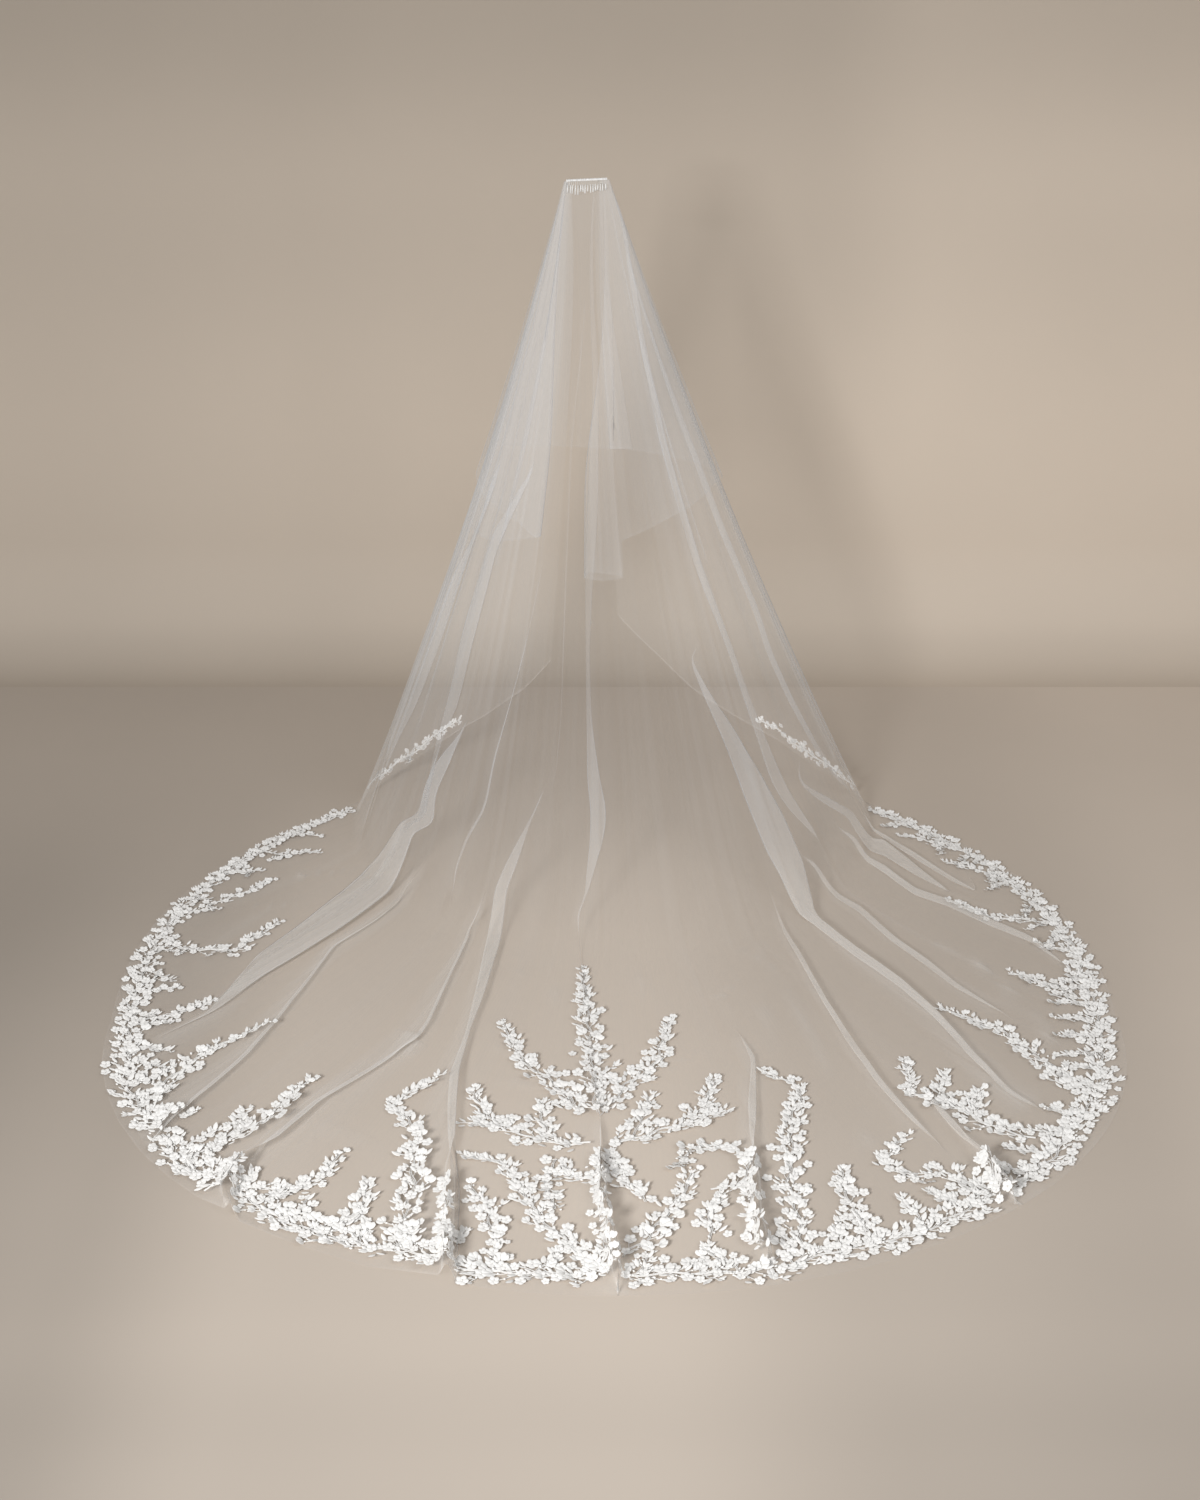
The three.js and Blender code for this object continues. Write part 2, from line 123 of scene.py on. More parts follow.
# The long layer before its folds. s runs 0 to 1 down the fall and 1 to 2 along the floor to the hem.
def trainFlat(azimuth, s):
    away = np.abs(azimuth)
    past = away > veil["touch"]
    share = fallShare(away)
    part = np.where(s < 1, share * s, share + (1 - share) * (s - 1))
    edge = np.interp(away, cutawayEdge["azimuth"], cutawayEdge["drop"]) - 0.0002
    drop = np.where(past, edge * part, veil["drop"] * np.minimum(s, 1))
    point, normal = levelSection(azimuth, drop)
    turn = np.radians(azimuth)
    flute = np.sin(23 * turn + 1.5 * np.sin(5 * turn))
    flute = flute + 0.6 * np.sin(41 * turn + 2.0 * np.sin(3 * turn) + 1.0)
    fadeIn = np.where(past, smooth(away, veil["touch"], veil["touch"] + 8), 1)
    fade = drop * (1 - 0.8 * smooth(s, 0.7, 1.0)) * fadeIn
    point = point + normal * (veil["flute"] * (flute * fade))[..., None]
    run = np.where(past, 0, np.clip(s - 1, 0, 1))
    hem = hemPoint(azimuth * veil["lastHem"] / veil["touch"])
    point[..., 0] += (hem[..., 0] - point[..., 0]) * run ** veil["fan"]
    point[..., 1] += (hem[..., 1] - point[..., 1]) * run
    onFloor = (run > 0)[..., None]
    return point, np.where(onFloor, np.array([0.0, 0.0, 1.0]), normal)


# The same with the corner between fall and floor rounded
def trainForm(azimuth, s):
    azimuth, s = (np.array(v, float) for v in np.broadcast_arrays(azimuth, s))
    point, normal = trainFlat(azimuth, s)
    bend = veil["bend"]
    u = np.clip((s - 1 + bend) / (2 * bend), 0, 1)[..., None]
    high, highNormal = trainFlat(azimuth, np.full_like(s, 1 - bend))
    foot, _ = trainFlat(azimuth, np.full_like(s, 1.0))
    low, lowNormal = trainFlat(azimuth, np.full_like(s, 1 + bend))
    rounded = (1 - u) ** 2 * high + 2 * u * (1 - u) * foot + u ** 2 * low
    inBend = ((u > 0) & (u < 1)) & (np.abs(azimuth) <= veil["touch"])[..., None]
    blended = unit((1 - u) * highNormal + u * lowNormal)
    return np.where(inBend, rounded, point), np.where(inBend, blended, normal)


focalPixels = view["lens"] / view["sensor"] * view["photo"][1]
tiltDown = math.radians(view["tiltDown"])
eye = np.array(view["at"])


def photoRay(px, py):
    right = (px - view["photo"][0] / 2) / focalPixels
    up = (view["photo"][1] / 2 - py) / focalPixels
    return np.array([
        right,
        math.cos(tiltDown) + up * math.sin(tiltDown),
        -math.sin(tiltDown) + up * math.cos(tiltDown),
    ])


def photoOnFloor(px, py):
    ray = photoRay(px, py)
    return eye + ray * ((-veil["drop"] - veil["start"] - eye[2]) / ray[2])


def photoPath(pixels):
    return [photoOnFloor(*p)[:2] for p in pixels]


# Azimuth and s of the point of the long layer's near side that shows at a pixel, and how far away it is
def photoOnVeil(px, py):
    ray = photoRay(px, py)
    nearest = (9.0, 0, 0, 0, 0)
    for k in np.linspace(*view["reach"], 361):
        point = eye + ray * k
        drop = max(-point[2] - veil["start"], 0.01)
        if drop > veil["drop"] + 0.003:
            break
        edge = levelSection(np.array([90.0, 0.0]), np.array([drop, drop]))[0]
        x = (point[0] - veil["drift"] * drop) / (edge[0, 0] - veil["drift"] * drop)
        y = point[1] / edge[1, 1]
        inside = x * x + y * y
        if inside < nearest[0]:
            nearest = (inside, k, x, y, drop)
        if inside < 1:
            break
    inside, k, x, y, drop = nearest
    onFloor = photoOnFloor(px, py)
    if inside < 1 or onFloor[1] > -0.02:
        power = 2 / (2 + veil["comb"]["square"] * math.exp(-drop / veil["comb"]["squareDrop"]))
        across = math.copysign(min(abs(x), 1) ** (1 / power), x)
        return math.degrees(math.atan2(across, max(y, 0.02) ** (1 / power))), min(drop / veil["drop"], 1), k
    # On the floor: the nearest point of a grid over the train, which closes in on it
    touch = veil["touch"]
    turns, runs = np.linspace(-touch, touch, 93), np.linspace(1.0, 2.0, 41)
    for _ in range(5):
        across, down = np.meshgrid(turns, runs, indexing="ij")
        spread = np.linalg.norm(trainFlat(across, down)[0][..., :2] - onFloor[:2], axis=-1)
        i, j = np.unravel_index(np.argmin(spread), spread.shape)
        turnStep, runStep = turns[1] - turns[0], runs[1] - runs[0]
        best = turns[i], runs[j]
        turns = np.clip(np.linspace(best[0] - turnStep, best[0] + turnStep, 11), -touch, touch)
        runs = np.clip(np.linspace(best[1] - runStep, best[1] + runStep, 11), 1, 2)
    return best[0], best[1], np.linalg.norm(onFloor - eye)


# Folds of the long layer, each a pleat that doubles back on itself. Photo pixels x, y and the pleat's
# width there, then its lift in mm and, near the hem, how high it stands up from the floor. A fold that
# the photo can't show is given by azimuth and drop instead. Cover is 1 unless stated: more for a whiter
# pleat, less for a fainter one.
folds = {
    "farLeft": {"level": [(-140, 0.1, 4, 3), (-138, 0.9, 24, 5), (-136, 1.3, 20, 5)]},
    "sideLeft": {"level": [(-112, 0.1, 4, 3), (-108, 0.8, 30, 6), (-107, 1.5, 26, 6)]},
    "bandOne": {"cover": -0.4,
                "photo": [(500, 470, 8, 4), (474, 545, 22, 5), (443, 622, 36, 6), (430, 655, 38, 6),
                          (415, 700, 34, 6), (396, 748, 24, 6), (383, 785, 12, 5), (361, 849, 0, 3)]},
    "bandTwo": {"cover": -0.4,
                "photo": [(532, 470, 4, 3), (513, 508, 11, 3), (494, 545, 20, 4), (473, 622, 32, 6),
                          (466, 650, 32, 6), (455, 700, 28, 6), (442, 740, 18, 6), (430, 790, 9, 5),
                          (427, 825, 0, 3)]},
    "leftWide": {"photo": [(470, 723, 0, 5), (447, 761, 24, 8), (415, 821, 38, 10), (380, 882, 40, 9),
                           (326, 924, 32, 7), (260, 967, 24, 5), (222, 1004, 11, 5), (205, 1017, 4, 4),
                           (141, 1047, 0, 2)]},
    "leftRidge": {"photo": [(432, 864, 0, 3), (410, 892, 2, 5), (376, 923, 4, 6), (333, 949, 5, 6),
                            (308, 983, 6, 6), (274, 1026, 7, 7), (248, 1056, 8, 8), (210, 1090, 9, 9),
                            (171, 1124, 8, 10), (150, 1145, 3, 4)]},
    "leftThin": {"photo": [(545, 560, 1, 2), (526, 650, 2, 3), (509, 710, 2, 4), (496, 757, 4, 5),
                           (487, 808, 5, 5), (470, 838, 7, 6), (457, 881, 5, 5), (453, 911, 0, 3)]},
    "crumple": {"photo": [(489, 902, 0, 3), (470, 932, 4, 5), (445, 988, 5, 6), (428, 1026, 6, 7),
                          (415, 1043, 7, 7), (370, 1073, 9, 8), (316, 1107, 10, 10), (275, 1143, 13, 14),
                          (239, 1176, 15, 12, 20), (222, 1205, 16, 8, 28), (212, 1228, 15, 5, 22)]},
    "leftLong": {"photo": [(549, 778, 0, 4), (529, 825, 4, 6), (516, 864, 15, 9), (504, 906, 18, 9),
                           (492, 949, 17, 8), (479, 1000, 12, 8), (468, 1035, 6, 8), (455, 1075, 11, 9),
                           (452, 1140, 14, 9, 6), (450, 1200, 17, 8, 22), (447, 1285, 18, 6, 30)]},
    "thread": {"photo": [(585, 300, 1, 1), (576, 400, 2, 2), (572, 445, 2, 2), (568, 540, 2, 2),
                         (565, 620, 2, 2), (562, 714, 1, 2), (556, 774, 1, 2), (549, 800, 0, 1)]},
    "centre": {"photo": [(590, 190, 2, 2), (592, 300, 4, 3), (596, 380, 7, 4), (594, 450, 10, 4),
                         (592, 520, 11, 4), (589, 590, 9, 4), (588, 650, 5, 4), (589, 714, 6, 5),
                         (594, 780, 15, 7), (599, 808, 18, 8), (597, 840, 15, 8), (592, 870, 10, 7),
                         (587, 911, 3, 7), (579, 928, 3, 6), (580, 945, 0, 4), (590, 1050, 0, 0),
                         (600, 1120, 0, 6), (601, 1158, 7, 5, 12), (603, 1205, 12, 5, 30),
                         (611, 1248, 15, 5, 34), (618, 1290, 16, 5, 30)]},
    "hemRight": {"photo": [(739, 1035, 0, 3), (753, 1060, 5, 4), (752, 1100, 9, 6), (752, 1141, 12, 7, 8),
                           (756, 1218, 16, 6, 26), (768, 1268, 16, 5, 28)]},
    "rightRidge": {"photo": [(770, 905, 0, 2), (782, 928, 2, 5), (799, 958, 3, 7), (825, 1005, 3, 8),
                             (851, 1047, 4, 8), (880, 1086, 4, 7), (910, 1120, 3, 6), (940, 1146, 0, 3)]},
    "hemFarRight": {"photo": [(925, 1095, 0, 3), (940, 1113, 4, 5), (962, 1141, 8, 7, 10),
                              (987, 1167, 13, 7, 24), (1011, 1206, 16, 5, 28)]},
    "wideRight": {"cover": 1.8,
                  "photo": [(688, 654, 0, 4), (707, 699, 8, 6), (725, 733, 19, 8), (746, 776, 30, 9),
                            (766, 821, 38, 10), (778, 857, 38, 11), (791, 889, 34, 11), (804, 912, 18, 11),
                            (817, 926, 4, 11), (859, 958, 4, 10), (902, 988, 4, 9), (936, 1018, 4, 8),
                            (970, 1056, 4, 7), (1009, 1094, 3, 5), (1043, 1112, 0, 3)]},
    "upperFour": {"photo": [(800, 866, 0, 2), (816, 881, 3, 4), (859, 911, 4, 5), (893, 941, 4, 5),
                            (928, 966, 4, 5), (957, 988, 3, 4), (1009, 1018, 0, 2)]},
    "rightOne": {"photo": [(611, 200, 2, 2), (625, 260, 4, 3), (640, 346, 6, 4), (661, 441, 7, 4),
                           (678, 504, 7, 5), (696, 564, 8, 5), (730, 650, 9, 5), (747, 700, 9, 5),
                           (761, 740, 11, 6), (775, 778, 16, 7), (790, 808, 12, 7), (812, 840, 3, 4),
                           (818, 850, 0, 2)]},
    "upperTwo": {"photo": [(840, 842, 0, 2), (855, 851, 4, 4), (885, 872, 5, 5), (915, 894, 5, 5),
                           (949, 906, 5, 5), (987, 923, 5, 5), (1030, 941, 4, 4), (1064, 966, 0, 2)]},
    "upperOne": {"photo": [(791, 778, 0, 3), (820, 800, 12, 6), (851, 829, 13, 6), (885, 851, 12, 6),
                           (915, 872, 8, 5), (947, 892, 0, 3)]},
    "rightTwo": {"photo": [(622, 255, 2, 2), (645, 320, 4, 3), (671, 395, 5, 4), (696, 466, 6, 5),
                           (717, 522, 7, 5), (752, 606, 7, 5), (766, 650, 6, 5), (787, 697, 7, 5),
                           (812, 744, 6, 5), (834, 778, 4, 4), (850, 796, 0, 3)]},
    "upperFive": {"photo": [(866, 824, 0, 2), (885, 839, 3, 3), (915, 858, 4, 4), (953, 881, 3, 3),
                            (979, 894, 0, 2)]},
    "sideRight": {"level": [(108, 0.1, 4, 3), (106, 0.8, 30, 6), (106, 1.5, 26, 6)]},
    "farRight": {"level": [(142, 0.1, 4, 3), (138, 0.9, 24, 5), (137, 1.3, 20, 5)]},
}
foldShape = {
    "columns": 12,
    "spread": 0.30,                        # share of the half width by which a pleat's two ends stand apart
    "gap": 1.0,                            # least degrees between two folds
    "gapColumn": 1.9,                      # degrees a column between the folds
    "within": (-160.0, 172.0),             # azimuths that the folds keep between
    "leastMetre": 0.0004,                  # least metres to a degree along a row
    "rowsFall": 106,
    "rowsFloor": 112,
    "clothWide": 3.1,                      # metres of cloth all the way round
    "clothOnFloor": 1.35,                  # metres of cloth from the floor's near side to the hem
}


def inPhoto(points):
    away = points - eye
    depth = away[..., 1] * math.cos(tiltDown) - away[..., 2] * math.sin(tiltDown)
    up = away[..., 1] * math.sin(tiltDown) + away[..., 2] * math.cos(tiltDown)
    return np.stack([away[..., 0], -up], -1) * focalPixels / depth[..., None]


def foldTrack(fold):
    rows = []
    spots = np.array([entry[:2] for entry in fold.get("photo", [(0, 0), (0, 1)])], float)
    lines = unit(np.gradient(spots, axis=0))
    for (a, b, width, lift, *stand), line in zip(fold.get("photo", []), lines):
        azimuth, s, distance = photoOnVeil(a, b)
        # Metres along the row for a pixel across the fold, as a row on the floor is seen at a slant
        row = trainForm(azimuth + np.array([-0.5, 0.5]), np.array([s, s]))[0]
        step = np.diff(inPhoto(row), axis=0)[0]
        pixels = max(abs(step[0] * line[1] - step[1] * line[0]), 0.3 * np.linalg.norm(step))
        slanted = max(np.linalg.norm(row[1] - row[0]), foldShape["leastMetre"]) / pixels
        lying = float(smooth(s, 1.0, 1.15))
        pixel = lying * slanted + (1 - lying) * distance / focalPixels
        rows.append((s, azimuth, width / 2 * pixel, lift / 1000, sum(stand) / 1000))
    for azimuth, drop, width, lift in fold.get("level", []):
        rows.append((drop / veil["drop"], azimuth, width / 2000, lift / 1000, 0))
    return np.array(sorted(rows))


def linkPiece(name, mesh):
    piece = bpy.data.objects.new(name, mesh)
    bpy.context.scene.collection.objects.link(piece)
    return piece


def makePiece(name, bm):
    mesh = bpy.data.meshes.new(name)
    bm.to_mesh(mesh)
    bm.free()
    return linkPiece(name, mesh)


# A sheet is a grid of cloth with its vertices moved to points; across and down are metres along the cloth.
# All four are arrays of (columns, rows).
def makeSheet(name, points, cover, across, down):
    columns, rows = points.shape[:2]
    bm = bmesh.new()
    bmesh.ops.create_grid(bm, x_segments=columns - 1, y_segments=rows - 1, size=1)
    place = lambda v: round((v.co.x + 1) / 2 * (columns - 1)) * rows + round((v.co.y + 1) / 2 * (rows - 1))
    bm.verts.sort(key=place)
    bm.verts.index_update()
    piece = makePiece(name, bm)
    mesh = piece.data
    mesh.vertices.foreach_set("co", np.ascontiguousarray(points, np.float32).ravel())
    covers = mesh.attributes.new("cover", "FLOAT", "POINT")
    covers.data.foreach_set("value", np.asarray(cover, np.float32).ravel())
    corner = np.zeros(len(mesh.loops), np.int32)
    mesh.loops.foreach_get("vertex_index", corner)
    uv = np.stack([across.ravel()[corner], down.ravel()[corner]], 1)
    mesh.uv_layers.new(name="cloth").data.foreach_set("uv", uv.astype(np.float32).ravel())
    mesh.shade_smooth()
    mesh.update()
    return piece


# Small creases on the train that don't double back: photo pixels along each, height and half width in mm
creases = [
    {"line": [(521, 975), (515, 949), (534, 945)], "high": 4, "half": 6},
    {"line": [(504, 1035), (517, 1080), (534, 1111)], "high": 5, "half": 8},
    {"line": [(548, 950), (552, 985), (561, 1022)], "high": 4, "half": 8},
    {"line": [(607, 902), (612, 940), (620, 979)], "high": 4, "half": 8},
    {"line": [(630, 902), (640, 950), (641, 1013)], "high": 5, "half": 8},
    {"line": [(680, 915), (688, 970), (710, 1026)], "high": 6, "half": 9},
    {"line": [(708, 906), (731, 945), (774, 970)], "high": 6, "half": 9},
    {"line": [(733, 913), (752, 940), (775, 960)], "high": 4, "half": 9},
    {"line": [(761, 1005), (768, 1030), (778, 1052)], "high": 6, "half": 9},
    {"line": [(782, 992), (816, 1043), (829, 1077)], "high": 5, "half": 10},
    {"line": [(710, 1009), (735, 983)], "high": 4, "half": 6},
    {"line": [(645, 1082), (705, 1047)], "high": 4, "half": 6},
    {"line": [(415, 1043), (393, 1068), (355, 1103), (344, 1146)], "high": 8, "half": 8},
    {"line": [(376, 863), (342, 872), (274, 881)], "high": 4, "half": 6},
    {"line": [(316, 906), (231, 908)], "high": 3, "half": 6},
    {"line": [(280, 905), (190, 960)], "high": 3, "half": 8},
    {"line": [(218, 950), (160, 990)], "high": 4, "half": 7},
    {"line": [(936, 945), (970, 958), (1000, 985), (1051, 1030)], "high": 6, "half": 10},
    {"line": [(795, 847), (816, 864), (846, 885)], "high": 5, "half": 7},
    {"line": [(1000, 1000), (1030, 1020), (1060, 1050)], "high": 5, "half": 9},
    {"line": [(860, 1110), (868, 1150), (885, 1190)], "high": 5, "half": 9},
    {"line": [(590, 1060), (615, 1110), (660, 1150)], "high": 4, "half": 9},
]


def creaseHeight(points):
    height = np.zeros(points.shape[:-1])
    for crease in creases:
        line = photoPath(crease["line"])
        total = sum(np.linalg.norm(b - a) for a, b in zip(line, line[1:]))
        best = np.full(height.shape, 9.0)
        along = np.zeros(height.shape)
        before = 0.0
        for a, b in zip(line, line[1:]):
            span = b - a
            t = np.clip(((points[..., :2] - a) @ span) / (span @ span), 0, 1)
            away = np.linalg.norm(points[..., :2] - (a + t[..., None] * span), axis=-1)
            along = np.where(away < best, (before + t * np.linalg.norm(span)) / total, along)
            best = np.minimum(best, away)
            before += np.linalg.norm(span)
        fade = np.sin(np.pi * np.clip(along, 0.04, 0.96)) ** 0.5
        height += crease["high"] / 1000 * fade * np.exp(-(best / (crease["half"] / 1000)) ** 2)
    return height


def buildTrain():
    tracks = [foldTrack(f) for f in folds.values()]
    covers = [f.get("cover", 1.0) for f in folds.values()]
    s = np.concatenate([
        np.linspace(0, 1, foldShape["rowsFall"]) ** 1.05,
        1 + np.linspace(0, 1, foldShape["rowsFloor"] + 1)[1:],
    ])
    rows, count, gap = len(s), len(tracks), foldShape["gap"]
    azimuth = np.stack([np.interp(s, t[:, 0], t[:, 1]) for t in tracks])
    half, lift, stand = (
        np.stack([np.interp(s, t[:, 0], t[:, k], left=0, right=0) for t in tracks]) for k in (2, 3, 4)
    )
    active = np.stack([(s > t[0, 0] - 0.01) & (s < t[-1, 0] + 0.01) for t in tracks])
    # A fold that isn't there keeps out of the way of those that are
    first, last = foldShape["within"]
    for r in range(rows):
        there = np.flatnonzero(active[:, r])
        for i in np.flatnonzero(~active[:, r]):
            before, after = there[there < i], there[there > i]
            low = azimuth[before[-1], r] + gap * (i - before[-1]) if len(before) else first
            high = azimuth[after[0], r] - gap * (after[0] - i) if len(after) else last
            azimuth[i, r] = min(max(azimuth[i, r], low), max(high, low))
        for i in range(1, count):
            azimuth[i, r] = max(azimuth[i, r], azimuth[i - 1, r] + gap)
    for _ in range(3):
        for track in (azimuth, half, lift):
            track[:, 1:-1] = (track[:, :-2] + 2 * track[:, 1:-1] + track[:, 2:]) / 4
    # Metres to a degree along each row at each fold
    ahead, _ = trainForm(azimuth + 0.5, s[None, :])
    behind, _ = trainForm(azimuth - 0.5, s[None, :])
    metre = np.maximum(np.linalg.norm(ahead - behind, axis=-1), foldShape["leastMetre"])
    ends = np.clip(foldShape["spread"] * half / metre, 0.12, gap * 0.42)
    turn, raised, dense = [], [], []

    def addGap(left, right, edgeLift, edgeMetre, reach, leftmost=False, rightmost=False):
        # Columns between two folds; towards the right one they rise to its edge within its reach
        steps = int(np.clip(round(np.median(right - left) / foldShape["gapColumn"]), 3, 24))
        for k in range(0 if leftmost else 1, steps + 1 if rightmost else steps):
            t = k / steps
            turn.append(left + (right - left) * t)
            away = np.abs(right - left) * (1 - t) * edgeMetre
            raised.append(edgeLift * np.exp(-(away / np.maximum(reach, 1e-4)) ** 2))
            dense.append(1 - 0.35 * smooth(s, 0.98, 1.15))

    edge = np.full(rows, veil["slit"][0])
    for i in range(count):
        reach = 1.3 * half[i] + 2.2 * lift[i] + 0.004
        addGap(edge, azimuth[i] - ends[i], 2 * lift[i], metre[i], reach, leftmost=i == 0)
        upright = smooth(stand[i], 0.0, 0.02)
        low = 0.4 + 0.6 * smooth(s, 0.45, 0.95) + 0.5 * smooth(s, 0.95, 1.2)
        there = smooth(half[i], 0.0005, 0.003) * low
        panel = covers[i] * (0.55 + 0.5 * smooth(s, 0.9, 1.1))
        for q in np.linspace(-1, 1, foldShape["columns"] + 1):
            swing = (1 - upright) * math.sin(math.pi * q) - upright * q * 0.9
            turn.append(azimuth[i] + ends[i] * q - half[i] / metre[i] * swing)
            tent = math.cos(math.pi * q / 2) ** 2
            raised.append(lift[i] * (1 - math.sin(math.pi * q / 2)) + stand[i] * tent)
            edgeOn = math.exp(-((abs(q) - 0.5) / 0.10) ** 2)
            crisp = 3.0 * min(1.0, 0.4 + 0.6 * covers[i]) * edgeOn
            dense.append(1 + there * (panel + crisp) * (1 - 0.7 * upright))
        edge = azimuth[i] + ends[i]
    addGap(edge, np.full(rows, veil["slit"][1]), 0.0, metre[-1], 0.01, rightmost=True)

    turn, raised, dense = np.stack(turn), np.stack(raised), np.stack(dense)
    sGrid = np.broadcast_to(s, turn.shape)
    points, normals = trainForm(turn, sGrid)
    points = points + normals * raised[..., None]
    onFloor = smooth(sGrid, 1.05, 1.25) * (np.abs(turn) < veil["touch"])
    crease = creaseHeight(points) * onFloor
    points[..., 2] += crease
    dense = dense * (1 + 420 * crease)
    x, y = points[..., 0], points[..., 1]
    soft = np.sin(9 * x + 5 * np.sin(4 * y)) * np.sin(7 * y + 3 * np.sin(6 * x))
    fine = np.sin(31 * x + 4 * np.sin(11 * y)) * np.sin(13 * y + 2 * np.sin(17 * x))
    points[..., 2] += onFloor * (0.0012 * (1 + soft) + 0.0006 * (1 + fine))
    onFloorLong = veil["drop"] + (sGrid - 1) * foldShape["clothOnFloor"]
    long = np.where(sGrid < 1, sGrid * veil["drop"], onFloorLong)
    across = (turn + 180) / 360 * foldShape["clothWide"]
    return turn, sGrid, points, dense, across, long


turnGrid, sGrid, trainPoints, foldDense, acrossGrid, longGrid = buildTrain()
# Gathers are close under the comb and open out as the veil falls
gathered = 1 + 0.4 * np.exp(-sGrid * veil["drop"] / 0.10)
upper = 1 - smooth(sGrid, 0.38, 0.92)
leftSide = smooth(-turnGrid, 18, 32)
rightSide = smooth(turnGrid, 18, 36)
farSide = smooth(np.abs(turnGrid), 95, 130)
middle = (1 - leftSide) * (1 - rightSide)
sides = 1 + upper * (2.2 * leftSide + 1.0 * rightSide - 0.75 * farSide - 0.4 * middle)
sides = sides + 0.6 * farSide * smooth(sGrid, 1.1, 1.7)
hemRoll = 1 + (0.6 + 2.4 * farSide) * smooth(sGrid, 1.994 - 0.01 * farSide, 2.0)
longCover = gathered * sides * foldDense * hemRoll
longTulle = makeSheet("long_tulle", trainPoints, longCover, acrossGrid, longGrid)
print("long layer", trainPoints.shape)

# The short layer: its cut hem by azimuth, and how far down its inner edges and its left fold end
shortLayer = {
    "spare": (0.0017, 0.016),              # how far outside the long layer, at the top and per metre
    "innerSpare": -0.35,                   # share of that for the strip that is turned under
    "hemAzimuth": (8, 37, 66, 120, 158, 209, 242, 288, 323, 333),
    "hemDrop": (0.785, 0.735, 0.700, 0.690, 0.665, 0.650, 0.640, 0.710, 0.755, 0.785),
    "centreDrop": 0.862,
    "pleatAt": 168.5,
    "pleatColumns": 16,
    "clothWide": 1.9,                      # metres of cloth to a full turn
    "rows": 92,
}


def buildShort():
    share = np.linspace(0, 1, shortLayer["rows"])
    legs = []

    def addLeg(start, end, steps, hems, spares, top=None):
        # One run of columns: azimuth start to end at the hem, its hem drop and its stand-off share
        for k in range(steps):
            t = k / steps
            hem = hems(t)
            azimuth = start + (end - start) * t
            narrow = azimuth if top is None else top[0] + (top[1] - top[0]) * t
            legs.append((narrow, azimuth, hem, spares(t), 1.0))

    hemAt = lambda a: float(np.interp(a, shortLayer["hemAzimuth"], shortLayer["hemDrop"]))
    inner = shortLayer["innerSpare"]
    long = shortLayer["centreDrop"]
    addLeg(8, -6, 9, lambda t: long - 0.01 * t, lambda t: inner, (21, 16))
    turnIn = lambda t: inner + (1 - inner) * (1 - math.cos(math.pi * t)) / 2
    addLeg(-6, -6.4, 5, lambda t: long, turnIn, (16, 15.8))
    addLeg(-6.4, 8, 10, lambda t: long + 0.004 * math.sin(3 * t), lambda t: 1.0, (15.8, 21))
    addLeg(8, 8.8, 3, lambda t: long - (long - hemAt(8)) * smooth(t, 0, 1), lambda t: 1.0, (21, 21.8))
    addLeg(8.8, 150, 64, lambda t: hemAt(8.8 + 141.2 * t), lambda t: 1.0, (21.8, 150))
    addLeg(150, 163, 12, lambda t: hemAt(150 + 13 * t), lambda t: 1.0)
    pleat, middle = shortLayer["pleatColumns"], shortLayer["pleatAt"]
    for k in range(pleat + 1):
        q = -1 + 2 * k / pleat
        swing = math.sin(math.pi * q)
        high, low = middle + 2.0 * q - 4.5 * swing, middle + 1.6 * q - 6.5 * swing
        legs.append((high, low, hemAt(middle), 1.0, 1 + (1 - math.sin(math.pi * q / 2))))
    addLeg(174, 322, 82, lambda t: hemAt(174 + 148 * t), lambda t: 1.0)
    addLeg(322, 333, 12, lambda t: hemAt(322 + 11 * t), lambda t: 1.0, (318, 321))
    turnOut = lambda t: 1 + (inner - 1) * (1 - math.cos(math.pi * t)) / 2
    addLeg(333, 334, 6, lambda t: 0.785, turnOut, (321, 321.4))
    addLeg(334, 285, 26, lambda t: 0.785 + 0.03 * math.sin(math.pi * t / 1.4), lambda t: inner, (321.4, 300))
    legs.append((300, 285, 0.805, inner, 1.0))

    table, shape = np.array(legs)[:, None, :], (len(legs), len(share))
    top, low, hem, spare, lifted = (np.broadcast_to(table[..., i], shape) for i in range(5))
    part = np.broadcast_to(share, top.shape)
    azimuth = top + (low - top) * smooth(part, 0.1, 0.8)
    drop = hem * part
    stand = shortLayer["spare"][0] + shortLayer["spare"][1] * drop
    points, normals = levelSection(azimuth, drop, stand)
    # Soft flutes that open towards the hem, and the lift of the pleat
    radians = np.radians(azimuth)
    outer = np.clip(spare, 0, 1)
    flute = 0.0035 * np.sin(9 * radians + 1.2) + 0.002 * np.sin(17 * radians + 0.4 + 2 * part)
    move = (spare - 1) * stand * 0.9 + outer * flute * drop + (lifted - 1) * 0.004 * part
    points = points + normals * move[..., None]
    fold = np.exp(-((np.gradient(spare, axis=0)) / 0.05) ** 2)
    dense = 1 + 1.2 * (1 - fold) * smooth(part, 0.03, 0.2)
    return azimuth, part, drop, points, dense


shortTurn, shortPart, shortDrop, shortPoints, shortDense = buildShort()
shortGather = 1 + 0.5 * np.exp(-shortDrop / 0.10)
cutHem = 1 + 0.5 * smooth(shortPart, 0.985, 1.0)
shortCover = shortGather * shortDense * cutHem
shortAcross = (shortTurn + 60) / 360 * shortLayer["clothWide"]
shortTulle = makeSheet("short_tulle", shortPoints, shortCover, shortAcross, shortDrop)
print("short layer", shortPoints.shape)


# Materials. Hex colours are sRGB; one function turns them to linear.
def colour(hexCode):
    parts = [int(hexCode[i:i + 2], 16) / 255 for i in (1, 3, 5)]
    return [c / 12.92 if c <= 0.04045 else ((c + 0.055) / 1.055) ** 2.4 for c in parts] + [1.0]


